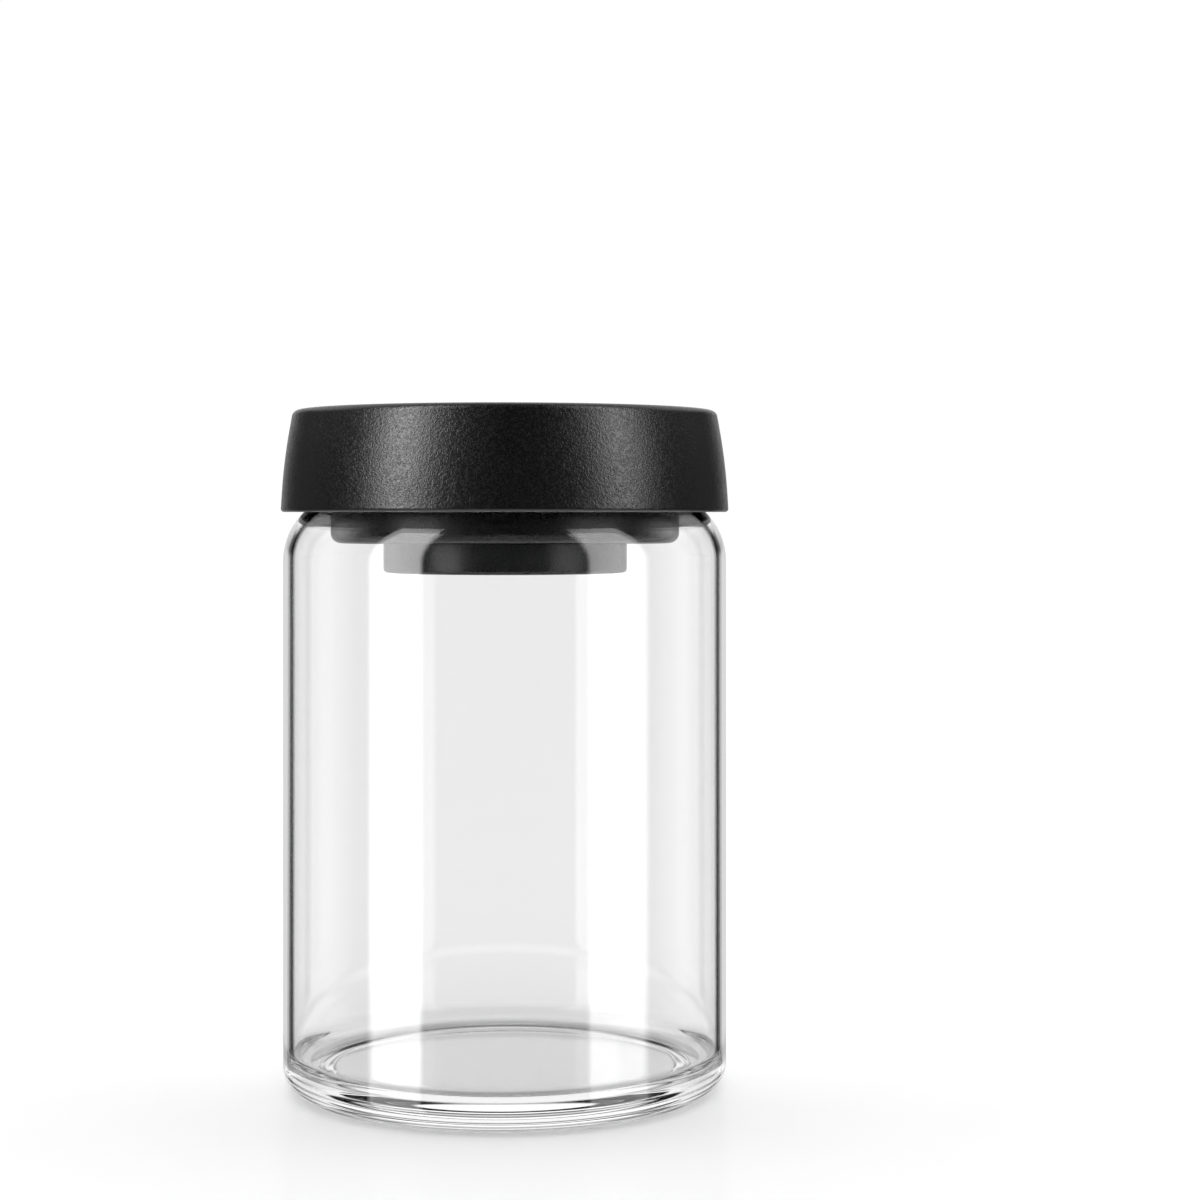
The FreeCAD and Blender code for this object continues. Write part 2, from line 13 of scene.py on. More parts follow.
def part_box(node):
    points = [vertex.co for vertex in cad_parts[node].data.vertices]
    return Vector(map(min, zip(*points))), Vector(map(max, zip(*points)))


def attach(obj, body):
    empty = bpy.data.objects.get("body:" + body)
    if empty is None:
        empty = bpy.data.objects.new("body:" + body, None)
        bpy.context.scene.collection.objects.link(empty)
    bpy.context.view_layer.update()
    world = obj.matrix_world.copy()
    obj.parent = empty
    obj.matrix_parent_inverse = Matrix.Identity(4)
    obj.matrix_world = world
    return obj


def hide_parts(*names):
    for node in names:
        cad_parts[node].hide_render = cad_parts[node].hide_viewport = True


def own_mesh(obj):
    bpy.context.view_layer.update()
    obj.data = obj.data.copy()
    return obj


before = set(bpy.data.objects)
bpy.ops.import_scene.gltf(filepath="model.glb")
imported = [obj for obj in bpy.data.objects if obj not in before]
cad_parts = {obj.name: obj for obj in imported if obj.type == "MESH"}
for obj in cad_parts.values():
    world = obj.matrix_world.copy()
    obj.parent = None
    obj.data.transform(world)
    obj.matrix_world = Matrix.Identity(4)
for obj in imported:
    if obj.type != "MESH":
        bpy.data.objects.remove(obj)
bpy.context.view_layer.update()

bl_info = {
    "name": "Vacuum seal canister",
    "version": (1, 0, 0),
    "blender": (4, 5, 0),
    "location": "View3D > Sidebar > Canister",
    "description": "Builds the jar, the lid and the buttons of a vacuum seal canister",
    "category": "Object",
}

MM = 0.001
ARC_TURN = math.radians(6)
ARC_RUN = 0.4 * MM
GUARD_RUN = 0.35 * MM
MERGE_GAP = 0.0005 * MM
CREASE_ANGLE = math.radians(32)
COIL_STEPS = 48
WIRE_SIDES = 16
TABLE_STEPS = 96
DECK_STEPS = 224
WELL_STEPS = 96
VENT_STEPS = 64
SCREW_STEPS = 48
THREAD_STEPS = 40
PEG_STEPS = 32
INLET_STEPS = 24
TABLE_DROP = 0.05 * MM

# Usual rounding of a moulded edge, reach of a cutting shape past its piece, and clearance of a fit.
EDGE = 0.2 * MM
SPARE = 1.0 * MM
FIT = 0.05 * MM

# Shares of a pitch where a sealing lip and a thread's crest start and end, and of the thread's radius at its root.
LIP_SPAN = (0.45, 0.65)
CREST_SPAN = (0.4, 0.5)
THREAD_ROOT = 0.74

# The leather grain: how its noise bends, how narrow its ridges are, and the shares of ridges and pebbles.
GRAIN_BEND = (2.2, 2.2, 1.4)
RIDGE_SHARPNESS = 7.0
RIDGE_SHARE = 0.6
PEBBLE_SHARE = 0.4
RIDGE_SMOOTHER = 0.05
VALLEY_ROUGHER = 0.07

# Where the grain fades towards a smooth inside, what is left of it there, and how much rougher that is.
FADE_START = -1.2 * MM
FADE_END = 0.6 * MM
FADED_GRAIN = 0.08
FADED_ROUGHER = 0.1

# The deck's grain as shares of the lid's, the glass's refraction and shadow, and the table's polish.
DECK_GRAIN_SIZE = 0.8
DECK_GRAIN_DEPTH = 0.35
GLASS_IOR = 1.5
GLASS_SHADOW = (0.965, 0.97, 0.97, 1.0)
WHITE = (1.0, 1.0, 1.0, 1.0)
POLISH_SHARE = 0.06
POLISH_ROUGHNESS = 0.22

PEG_ANGLES = [math.radians(angle) for angle in (20, 90, 160, 200, 270, 340)]

# The studio, by the height of a ray's direction or by its nearness to the view line: where each part starts and
# where it is full, and then the levels of some parts.
VIEW_LINE = (-0.0375, 0.9985, -0.04)
SWEEP_EDGE = (0.865, 0.895)
SIDES_EDGE = (0.81, 0.77)
BEHIND_JAR = (0.0, 0.3)
SKY_START = (0.04, 0.14)
CEILING_START = (0.25, 0.5)
GROUND_START = (-0.45, -0.65)
PANEL_FOOT = (0.13, 0.18)
PANEL_TOP = (0.42, 0.34)
BAND_FOOT = (0.05, 0.0)
BAND_LEVEL = 0.2
OUTER_SIDES_LEVEL = 0.1
AFTER_TABLE_LEVEL = 0.8
DOME_RIM = 0.55
DOME_RISE = 0.9

# Shares of a softbox over which its outer edge and its top fade, and its level in rays that have gone through three
# or more surfaces of the glass.
OUTER_FADE = 0.12
TOP_FADE = 0.25
DEEP_RAY = 2.5
DEEP_LEVEL = 0.4

_, jar_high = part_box("glass_jar")
lid_low, lid_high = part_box("lid_shell")
_, deck_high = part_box("deck_plate")
plug_low, plug_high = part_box("lid_plug")
_, ring_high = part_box("sealing_ring")
housing_low, housing_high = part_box("pump_cylinder")
pump_low, pump_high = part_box("pump_button")
release_low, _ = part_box("release_button")
screws_low, screws_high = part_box("plug_screws")
spring_low, spring_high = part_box("pump_spring")
valve_spring_low, valve_spring_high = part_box("release_spring")


def size(label, metres, text):
    """A length that a user may change."""
    return FloatProperty(name=label, description=text, default=metres, min=0.0, precision=5,
                         subtype="DISTANCE", unit="LENGTH")


def tint(label, colour, text):
    """A colour that a user may change."""
    return FloatVectorProperty(name=label, description=text, default=colour, size=3, min=0.0, max=1.0,
                               subtype="COLOR")


def share(label, value, text):
    """A number from 0 to 1 that a user may change."""
    return FloatProperty(name=label, description=text, default=value, min=0.0, max=1.0, subtype="FACTOR")


def count(label, number, text):
    """A whole number that a user may change."""
    return IntProperty(name=label, description=text, default=number, min=1)


def angled(label, degrees, text):
    """An angle that a user may change."""
    return FloatProperty(name=label, description=text, default=math.radians(degrees), subtype="ANGLE",
                         unit="ROTATION")


def strength(label, value, text):
    """A strength of light that a user may change."""
    return FloatProperty(name=label, description=text, default=value, min=0.0)


class JarSizes(PropertyGroup):
    """Sizes of the glass jar."""

    radius: size("Radius", jar_high.x, "Outer radius of the straight wall")
    height: size("Height", jar_high.z, "Height of the glass rim above the table")
    wall: size("Wall", 2.2 * MM, "Thickness of the glass wall")
    heel: size("Heel", 6.2 * MM, "Rounding between the wall and the foot")
    floor: size("Floor", 6.5 * MM, "Height of the inner floor")
    floor_corner: size("Floor corner", 4.4 * MM, "Rounding between the inner floor and the wall")
    foot_width: size("Foot width", 2.2 * MM, "Width of the ring that the jar stands on")
    push_up: size("Push-up", 2.25 * MM, "Height of the hollow under the floor")
    push_up_slope: size("Push-up slope", 3.7 * MM, "Width of the slope round that hollow")
    push_up_round: size("Push-up rounding", 2.0 * MM, "Rounding at both ends of that slope")
    shoulder_drop: size("Shoulder drop", 20.5 * MM, "How far below the rim the shoulder starts")
    shoulder_radius: size("Shoulder radius", 16.0 * MM, "Radius of the shoulder's curve")
    neck_step: size("Neck step", 6.7 * MM, "How much narrower than the wall the neck is")
    neck_fillet: size("Neck fillet", 2.0 * MM, "Hollow rounding between the shoulder and the neck")
    rim_round: size("Rim rounding", 0.8 * MM, "Rounding of the fire-polished rim")
    steps: count("Steps", 360, "Number of faces round the jar")


class LidSizes(PropertyGroup):
    """Sizes of the black lid shell and its ribs."""

    skirt_radius: size("Skirt radius", 53.0 * MM, "Radius where the side meets the skirt's lower edge")
    bottom: size("Bottom", lid_low.z, "Height of the skirt's lower edge")
    top: size("Top", lid_high.z, "Height of the rim's top")
    skirt_wall: size("Skirt wall", 2.6 * MM, "Thickness of the skirt")
    skirt_round: size("Skirt rounding", 0.8 * MM, "Rounding of the skirt's lower edge")
    swell: size("Swell", 130.0 * MM, "Radius of the side's slight swell")
    taper: size("Taper", 2.9 * MM, "How much narrower the top is than the skirt")
    taper_share: share("Taper share", 0.27, "Part of the taper below the side's middle")
    rim_width: size("Rim width", 3.7 * MM, "Width of the rim's flat top with its roundings")
    rim_round: size("Rim rounding", 1.7 * MM, "Rounding of the rim's outer edge")
    lip_round: size("Lip rounding", 0.6 * MM, "Rounding of the rim's inner edge")
    recess_depth: size("Recess depth", 13.4 * MM, "Depth of the recess from the rim to the deck")
    seat_radius: size("Seat radius", 40.2 * MM, "Radius of the seat that holds the deck")
    seat_depth: size("Seat depth", 2.5 * MM, "Depth of that seat")
    wall: size("Recess wall", 2.2 * MM, "Thickness of the recess's conical wall")
    channel_drop: size("Channel drop", 5.0 * MM, "Depth of the hollow rim's ceiling below the rim")
    channel_width: size("Channel width", 1.8 * MM, "Width of that ceiling")
    ledge: size("Ledge", 2.6 * MM, "Thickness of the ledge under the deck")
    ledge_radius: size("Ledge radius", 30.5 * MM, "Inner radius of that ledge")
    rib_count: count("Ribs", 12, "Number of ribs in the hollow rim")
    rib_thickness: size("Rib thickness", 1.6 * MM, "Thickness of one rib")
    rib_foot: size("Rib foot", 146.2 * MM, "Height of the ribs' lower edges")
    steps: count("Steps", 256, "Number of faces round the lid")


class DeckSizes(PropertyGroup):
    """Sizes of the deck at the bottom of the recess."""

    radius: size("Radius", deck_high.x, "Radius of the deck")
    top: size("Top", 146.6 * MM, "Height of the deck's upper side")
    thickness: size("Thickness", 2.5 * MM, "Thickness of the deck")
    hole: size("Hole", 21.7 * MM, "Radius of the hole round the pump button")
    hole_round: size("Hole rounding", 0.3 * MM, "Rounding of that hole's upper edge")
    bead_inset: size("Bead inset", 1.65 * MM, "Distance of the raised bead from the edge")
    bead_width: size("Bead width", 0.7 * MM, "Width of the raised bead")
    bead_height: size("Bead height", 0.3 * MM, "Height of the raised bead")
    well_radius: size("Well radius", 5.8 * MM, "Radius of the sunk ring round the release button")
    well_depth: size("Well depth", 1.2 * MM, "Depth of that ring")
    release_hole: size("Release hole", 4.19 * MM, "Radius of the release button's hole")
    peg_radius: size("Peg radius", 1.2 * MM, "Radius of the pegs that hold the deck")
    peg_length: size("Peg length", 2.1 * MM, "Length of those pegs")
    peg_circle: size("Peg circle", 36.0 * MM, "Radius of the circle that the pegs stand on")


class PlugSizes(PropertyGroup):
    """Sizes of the plug, its sealing ring and its screws."""

    radius: size("Radius", plug_high.x, "Radius of the plug")
    bottom: size("Bottom", plug_low.z, "Height of the plug's underside")
    top: size("Top", plug_high.z, "Height of the plug's upper edge")
    corner: size("Corner", 2.5 * MM, "Rounding of the plug's lower edge")
    wall: size("Wall", 3.0 * MM, "Thickness of the plug's wall")
    floor: size("Floor", 2.2 * MM, "Thickness of the plug's floor")
    hole: size("Hole", 25.15 * MM, "Radius of the hole round the pump cylinder")
    groove_depth: size("Groove depth", 1.0 * MM, "Depth of the sealing ring's groove")
    groove_height: size("Groove height", 4.0 * MM, "Height of that groove")
    lip_radius: size("Lip radius", 43.2 * MM, "Radius of the sealing ring's lips")
    lip_root: size("Lip root", 41.85 * MM, "Radius between the lips")
    lip_count: count("Lips", 3, "Number of lips on the sealing ring")
    sleeve_radius: size("Sleeve radius", 42.45 * MM, "Inner radius of the sealing ring's sleeve")
    sleeve_wall: size("Sleeve wall", 0.6 * MM, "Thickness of that sleeve")
    flange_radius: size("Flange radius", ring_high.x, "Radius of the flange over the glass rim")
    flange_thickness: size("Flange thickness", 1.2 * MM, "Thickness of that flange")
    screw_circle: size("Screw circle", 35.6 * MM, "Radius of the circle that the screws stand on")
    screw_head: size("Screw head", 2.6 * MM, "Radius of a screw's head")
    screw_head_height: size("Screw head height", 1.5 * MM, "Height of a screw's head")
    screw_shank: size("Screw shank", 1.25 * MM, "Outer radius of a screw's thread")
    screw_pitch: size("Screw pitch", 0.9 * MM, "Pitch of a screw's thread")
    slot_length: size("Slot length", 3.2 * MM, "Length of a slot in a screw's head")
    slot_width: size("Slot width", 0.7 * MM, "Width of that slot")
    slot_depth: size("Slot depth", 0.6 * MM, "Depth of that slot")
    screw_count: count("Screws", 4, "Number of screws")
    boss: size("Boss", 3.2 * MM, "Radius of the bosses that take the screws")
    vent_pocket: size("Vent pocket", 3.4 * MM, "Radius of the release valve's pocket")
    vent_boss: size("Vent boss", 4.3 * MM, "Radius of the boss round that pocket")
    vent_depth: size("Vent depth", 2.6 * MM, "Depth of that pocket")
    vent_rise: size("Vent rise", 2.4 * MM, "Height of the boss above that pocket")
    vent_hole: size("Vent hole", 1.7 * MM, "Radius of the hole through the boss")
    vent_seat: size("Vent seat", 2.45 * MM, "Radius of the guide's seat on top of the boss")
    vent_seat_depth: size("Vent seat depth", 1.1 * MM, "Depth of that seat")
    steps: count("Steps", 224, "Number of faces round the plug")


class PumpSizes(PropertyGroup):
    """Sizes of the pump's housing and button."""

    housing_radius: size("Housing radius", housing_high.x, "Radius of the housing under the plug")
    housing_bottom: size("Housing bottom", housing_low.z, "Height of the housing's underside")
    housing_corner: size("Housing corner", 1.0 * MM, "Rounding of the housing's lower edge")
    cylinder_radius: size("Cylinder radius", 25.1 * MM, "Outer radius of the cylinder above the housing")
    cylinder_top: size("Cylinder top", housing_high.z, "Height of the cylinder's upper edge")
    bore: size("Bore", 23.2 * MM, "Radius of the cylinder's bore")
    floor: size("Floor", 2.5 * MM, "Thickness of the cylinder's floor")
    gasket_circle: size("Gasket circle", 27.2 * MM, "Middle radius of the gasket's groove")
    gasket_width: size("Gasket width", 1.4 * MM, "Width of that groove")
    gasket_depth: size("Gasket depth", 1.1 * MM, "Depth of that groove")
    inlet_circle: size("Inlet circle", 3.8 * MM, "Radius of the circle of inlet holes")
    inlet_radius: size("Inlet radius", 0.6 * MM, "Radius of one inlet hole")
    inlet_count: count("Inlets", 6, "Number of inlet holes")
    valve_pocket: size("Valve pocket", 2.4 * MM, "Radius of the pocket under the inlet valve")
    valve_pocket_depth: size("Valve pocket depth", 1.3 * MM, "Depth of that pocket")
    valve_hole: size("Valve hole", 1.05 * MM, "Radius of the inlet valve's hole")
    button_radius: size("Button radius", pump_high.x, "Radius of the pump button")
    button_bottom: size("Button bottom", pump_low.z, "Height of the button's lower edge")
    button_top: size("Button top", pump_high.z, "Height of the button's top")
    button_round: size("Button rounding", 2.7 * MM, "Rounding of the button's upper edge")
    button_crease: size("Button crease", 0.12 * MM, "Depth of the pressed line where the rounding starts")
    button_wall: size("Button wall", 1.6 * MM, "Thickness of the button's wall")
    button_roof: size("Button roof", 1.8 * MM, "Thickness of the button's top")
    boss: size("Boss", 3.8 * MM, "Radius of the boss inside the button")
    boss_hole: size("Boss hole", 1.5 * MM, "Radius of the screw hole in that boss")
    boss_hole_top: size("Boss hole top", 153.9 * MM, "Height of that hole's end")
    stroke: size("Stroke", 9.0 * MM, "How far the button goes down")
    spring_radius: size("Spring radius", spring_high.x, "Outer radius of the spring")
    spring_bottom: size("Spring bottom", spring_low.z, "Height of the spring's lower end")
    spring_top: size("Spring top", spring_high.z, "Height of the spring's upper end")
    spring_wire: size("Spring wire", 1.2 * MM, "Thickness of the spring's wire")
    spring_turns: count("Spring turns", 6, "Number of the spring's turns")
    steps: count("Steps", 224, "Number of faces round the pump")


class ReleaseSizes(PropertyGroup):
    """Sizes of the release button."""

    offset: size("Offset", 32.4 * MM, "Distance of the release button from the jar's axis")
    radius: size("Radius", 3.94 * MM, "Radius of the release button")
    bottom: size("Bottom", release_low.z, "Height of the button's lower edge")
    top: size("Top", 152.1 * MM, "Height of the corner over the button's rim")
    dish: size("Dish", 0.7 * MM, "Depth of the dished top")
    rim_radius: size("Rim radius", 3.3 * MM, "Radius of the rim round the dish")
    wall: size("Wall", 0.84 * MM, "Thickness of the button's wall")
    roof: size("Roof", 2.6 * MM, "Thickness of the button's top")
    socket: size("Socket", 1.15 * MM, "Radius of the stem's socket")
    socket_depth: size("Socket depth", 1.1 * MM, "Depth of that socket")
    gap: size("Gap", 0.5 * MM, "Space round the button in the lid's ledge")
    stroke: size("Stroke", 3.0 * MM, "How far the button goes down")
    spring_radius: size("Spring radius", (valve_spring_high.x - valve_spring_low.x) / 2,
                        "Outer radius of the spring")
    spring_bottom: size("Spring bottom", valve_spring_low.z, "Height of the spring's lower end")
    spring_top: size("Spring top", valve_spring_high.z, "Height of the spring's upper end")
    spring_wire: size("Spring wire", 0.4 * MM, "Thickness of the spring's wire")
    spring_turns: count("Spring turns", 4, "Number of the spring's turns")
    steps: count("Steps", 128, "Number of faces round the button")


class Finishes(PropertyGroup):
    """Colours and surface grain."""

    glass: tint("Glass", (0.975, 0.975, 0.975), "Tint of the glass")
    lid: tint("Lid", (0.003, 0.003, 0.0031), "Black of the grained lid")
    deck: tint("Deck", (0.022, 0.022, 0.0225), "Grey black of the deck")
    plug: tint("Plug", (0.002, 0.002, 0.002), "Black of the plug")
    smoke: tint("Smoke", (0.018, 0.018, 0.019), "Dark grey of the pump housing")
    gold: tint("Gold", (0.90, 0.555, 0.20), "Gold of both buttons")
    dark_silicone: tint("Dark silicone", (0.012, 0.012, 0.012), "Black of the seals")
    pale_silicone: tint("Pale silicone", (0.72, 0.72, 0.69), "Milky colour of the valve rubbers")
    pale_plastic: tint("Pale plastic", (0.74, 0.74, 0.70), "Natural white of the inner mouldings")
    steel: tint("Steel", (0.56, 0.56, 0.55), "Colour of the springs, screws and stem")
    table: tint("Table", (0.94, 0.94, 0.94), "Pale colour of the table")
    grain_size: size("Grain size", 0.5 * MM, "Width of one wrinkle of the lid's grain")
    grain_depth: size("Grain depth", 0.035 * MM, "Depth of the lid's grain")
    gold_roughness: share("Gold roughness", 0.34, "Roughness of the satin gold")


class StageSizes(PropertyGroup):
    """Camera and light."""

    eye: FloatVectorProperty(name="Eye", description="Place of the camera", size=3,
                             default=(0.0225, -0.604, 0.136), subtype="TRANSLATION", unit="LENGTH")
    lens: FloatProperty(name="Lens", description="Focal length in millimetres on a 36 mm sensor", default=76.25)
    shift: FloatProperty(name="Shift", description="Upright shift of the picture", default=-0.0733)
    table_radius: size("Table radius", 40.0, "Radius of the pale table")
    box_distance: size("Softbox distance", 0.70, "Distance of the softboxes from the jar")
    low_foot: FloatProperty(name="Low foot", description="Height of the feet of the softboxes that light the glass",
                            default=-0.45, subtype="DISTANCE", unit="LENGTH")
    low_top: size("Low top", 1.2, "Height of the tops of the softboxes that light the glass")
    low_soft: share("Low softness", 0.1, "Part of those softboxes' width over which their inner edges fade")
    high_foot: size("High foot", 0.15, "Height of the feet of the softboxes that light the lid")
    high_top: size("High top", 1.5, "Height of the tops of the softboxes that light the lid")
    high_soft: share("High softness", 0.3, "Part of those softboxes' width over which their inner edges fade")
    left_low_from: angled("Left low from", 38.3, "Nearer edge of the left softbox for the glass, from the view line")
    left_low_to: angled("Left low to", 70.2, "Farther edge of that softbox")
    left_low_level: strength("Left low level", 4.6, "Radiance of that softbox")
    left_high_from: angled("Left high from", 41, "Nearer edge of the left softbox for the lid")
    left_high_to: angled("Left high to", 60, "Farther edge of that softbox")
    left_high_level: strength("Left high level", 8.4, "Radiance of that softbox")
    right_low_from: angled("Right low from", 42.5, "Nearer edge of the right softbox for the glass")
    right_low_to: angled("Right low to", 79, "Farther edge of that softbox")
    right_low_level: strength("Right low level", 3.4, "Radiance of that softbox")
    right_high_from: angled("Right high from", 53, "Nearer edge of the right softbox for the lid")
    right_high_to: angled("Right high to", 71, "Farther edge of that softbox")
    right_high_level: strength("Right high level", 5.2, "Radiance of that softbox")
    backdrop_level: strength("Backdrop level", 1.013, "Light of the backdrop seen directly and through the glass")
    dome_level: strength("Dome level", 1.12, "Light of the dome on the table")
    sweep_level: strength("Sweep level", 0.7, "Light of the sweep where it is mirrored")
    sky_level: strength("Sky level", 1.2, "Light of the sweep above the horizon where it is mirrored")


def arc(centre, radius, start, end):
    """Profile points on an arc from one angle to another."""
    turn = end - start
    steps = max(3, math.ceil(abs(turn) / ARC_TURN), math.ceil(abs(turn) * radius / ARC_RUN))
    angles = [start + turn * step / steps for step in range(steps + 1)]
    return [Vector((centre[0] + radius * math.cos(a), centre[1] + radius * math.sin(a))) for a in angles]


def fillet(before, here, after, rounding):
    """Profile points on the arc that rounds the corner at here."""
    to_before = (before - here).normalized()
    to_after = (after - here).normalized()
    half = to_before.angle(to_after) / 2
    centre = here + (to_before + to_after).normalized() * (rounding / math.sin(half))
    first = here + to_before * (rounding / math.tan(half)) - centre
    last = here + to_after * (rounding / math.tan(half)) - centre
    start = math.atan2(first.y, first.x)
    turn = (math.atan2(last.y, last.x) - start + math.pi) % math.tau - math.pi
    return arc(centre, rounding, start, start + turn)


def outline(*corners):
    """Profile points along corners of (radius, height) or (radius, height, rounding)."""
    points = []
    for index, corner in enumerate(corners):
        here = Vector(corner[:2])
        if len(corner) > 2 and corner[2] and 0 < index < len(corners) - 1:
            points += fillet(Vector(corners[index - 1][:2]), here, Vector(corners[index + 1][:2]), corner[2])
        else:
            points.append(here)
    return points


def guarded(points):
    """The same profile with a point close to each end of its straight runs, so that shading stays flat."""
    kept = [points[0]]
    for here, there in zip(points, points[1:]):
        run = (there - here).length
        if run > 4 * GUARD_RUN:
            kept += [here.lerp(there, GUARD_RUN / run), there.lerp(here, GUARD_RUN / run)]
        kept.append(there)
    return kept


def fill(tree, node, inputs):
    """Gives a node its inputs, each a value or another node's output."""
    for name, value in inputs.items():
        if isinstance(value, bpy.types.NodeSocket):
            tree.links.new(value, node.inputs[name])
        else:
            node.inputs[name].default_value = value


def add(tree, kind, inputs=None, **settings):
    """A new node with its settings and its inputs."""
    node = tree.nodes.new(kind)
    for name, value in settings.items():
        setattr(node, name, value)
    fill(tree, node, inputs or {})
    return node


def math_node(tree, operation, first, second=0.0):
    """The output of a math node."""
    return add(tree, "ShaderNodeMath", {0: first, 1: second}, operation=operation).outputs[0]


def times(tree, first, second):
    """The product of two values."""
    return math_node(tree, "MULTIPLY", first, second)


def most(tree, *values):
    """The largest of several values."""
    return functools.reduce(lambda one, other: math_node(tree, "MAXIMUM", one, other), values)


def beyond(tree, value, limit=0.5):
    """1 where a value is greater than a limit, and 0 elsewhere."""
    return math_node(tree, "GREATER_THAN", value, limit)


def built_once(build):
    """Makes a node group, named after its function, on first use and hands out the same one later."""
    def found():
        return bpy.data.node_groups.get(build.__name__) or build(build.__name__)
    return found


def new_tree(name, kind, inputs, outputs):
    """A new node group with named sockets, and its input and output nodes."""
    tree = bpy.data.node_groups.new(name, kind + "NodeTree")
    for way, sockets in (("INPUT", inputs), ("OUTPUT", outputs)):
        for label, socket in sockets.items():
            tree.interface.new_socket(name=label, in_out=way, socket_type="NodeSocket" + socket)
    return tree, tree.nodes.new("NodeGroupInput").outputs, tree.nodes.new("NodeGroupOutput").inputs


def new_shape_tree(name, inputs):
    """A new geometry node group that takes a shape, further inputs and a material."""
    return new_tree(name, "Geometry", {"Geometry": "Geometry", **inputs, "Material": "Material"},
                    {"Geometry": "Geometry"})


def painted(tree, geometry, given, result):
    """Ends a geometry tree: plain faces in the given material."""
    real = add(tree, "GeometryNodeRealizeInstances", {"Geometry": geometry})
    paint = add(tree, "GeometryNodeSetMaterial",
                {"Geometry": real.outputs["Geometry"], "Material": given["Material"]})
    tree.links.new(paint.outputs["Geometry"], result["Geometry"])


@built_once
def turn_profile(name):
    """Geometry nodes that turn a row of profile points round the Z axis."""
    tree, given, result = new_shape_tree(name, {"Steps": "Int", "Merge gap": "Float"})
    profile = add(tree, "GeometryNodeAttributeDomainSize", {"Geometry": given["Geometry"]})
    rows = profile.outputs["Point Count"]
    columns = math_node(tree, "ADD", given["Steps"], 1.0)
    grid = add(tree, "GeometryNodeMeshGrid", {"Vertices X": columns, "Vertices Y": rows})
    index = tree.nodes.new("GeometryNodeInputIndex").outputs[0]
    row = math_node(tree, "MODULO", index, rows)
    column = math_node(tree, "FLOOR", math_node(tree, "DIVIDE", math_node(tree, "ADD", index, 0.5), rows))
    angle = math_node(tree, "DIVIDE", times(tree, column, math.tau), given["Steps"])
    place = tree.nodes.new("GeometryNodeInputPosition").outputs[0]
    point = add(tree, "GeometryNodeSampleIndex", {"Geometry": given["Geometry"], "Value": place, "Index": row},
                data_type="FLOAT_VECTOR", domain="POINT")
    parts = add(tree, "ShaderNodeSeparateXYZ", {0: point.outputs["Value"]}).outputs
    across = times(tree, parts["X"], math_node(tree, "COSINE", angle))
    along = times(tree, parts["X"], math_node(tree, "SINE", angle))
    turned_place = add(tree, "ShaderNodeCombineXYZ", {"X": across, "Y": along, "Z": parts["Z"]})
    bent = add(tree, "GeometryNodeSetPosition",
               {"Geometry": grid.outputs["Mesh"], "Position": turned_place.outputs[0]})
    closed = add(tree, "GeometryNodeMergeByDistance",
                 {"Geometry": bent.outputs["Geometry"], "Distance": given["Merge gap"]})
    painted(tree, closed.outputs["Geometry"], given, result)
    return tree


@built_once
def space_round(name):
    """Geometry nodes that repeat a piece at equal angles round the Z axis."""
    tree, given, result = new_shape_tree(name, {"Count": "Int", "Start": "Float"})
    points = add(tree, "GeometryNodePoints", {"Count": given["Count"]})
    index = tree.nodes.new("GeometryNodeInputIndex").outputs[0]
    step = math_node(tree, "DIVIDE", math.tau, given["Count"])
    angle = math_node(tree, "ADD", times(tree, index, step), given["Start"])
    turn = add(tree, "ShaderNodeCombineXYZ", {"Z": angle})
    placed = add(tree, "GeometryNodeInstanceOnPoints",
                 {"Points": points.outputs[0], "Instance": given["Geometry"], "Rotation": turn.outputs[0]})
    painted(tree, placed.outputs["Instances"], given, result)
    return tree


@built_once
def draw_wire(name):
    """Geometry nodes that draw a round wire along a row of joined points."""
    tree, given, result = new_shape_tree(name, {"Wire radius": "Float"})
    path = add(tree, "GeometryNodeMeshToCurve", {"Mesh": given["Geometry"]})
    ring = add(tree, "GeometryNodeCurvePrimitiveCircle", {"Resolution": WIRE_SIDES, "Radius": given["Wire radius"]})
    drawn = add(tree, "GeometryNodeCurveToMesh",
                {"Curve": path.outputs["Curve"], "Profile Curve": ring.outputs["Curve"], "Fill Caps": True})
    painted(tree, drawn.outputs["Mesh"], given, result)
    return tree


def held(name, data):
    """A new object in the scene that carries a mesh, a lamp or a camera."""
    obj = bpy.data.objects.new(name, data)
    bpy.context.scene.collection.objects.link(obj)
    return obj


def baked(host):
    """The plain mesh of a passing object's modifiers. The object and its first mesh are removed."""
    made = bpy.data.meshes.new_from_object(host.evaluated_get(bpy.context.evaluated_depsgraph_get()))
    first = host.data
    host.modifiers.clear()
    bpy.data.objects.remove(host)
    bpy.data.meshes.remove(first)
    return made


def grown(tree, mesh, values):
    """The plain mesh that a geometry tree makes of a mesh."""
    host = held(tree.name, mesh)
    modifier = host.modifiers.new(tree.name, "NODES")
    modifier.node_group = tree
    for socket in tree.interface.items_tree:
        if socket.in_out == "INPUT" and socket.name in values:
            modifier[socket.identifier] = values[socket.name]
    return baked(host)


def turned(points, steps, material, place=(0.0, 0.0, 0.0)):
    """A closed mesh turned from profile points, with its axis moved to a place."""
    profile = bpy.data.meshes.new("profile")
    profile.from_pydata([(p.x, 0.0, p.y) for p in guarded(points)], [], [])
    mesh = grown(turn_profile(), profile, {"Steps": steps, "Merge gap": MERGE_GAP, "Material": material})
    mesh.transform(Matrix.Translation(place))
    return closed_up(mesh)


def spaced(mesh, number, start, material):
    """A mesh repeated at equal angles round the Z axis."""
    return grown(space_round(), mesh, {"Count": number, "Start": start, "Material": material})


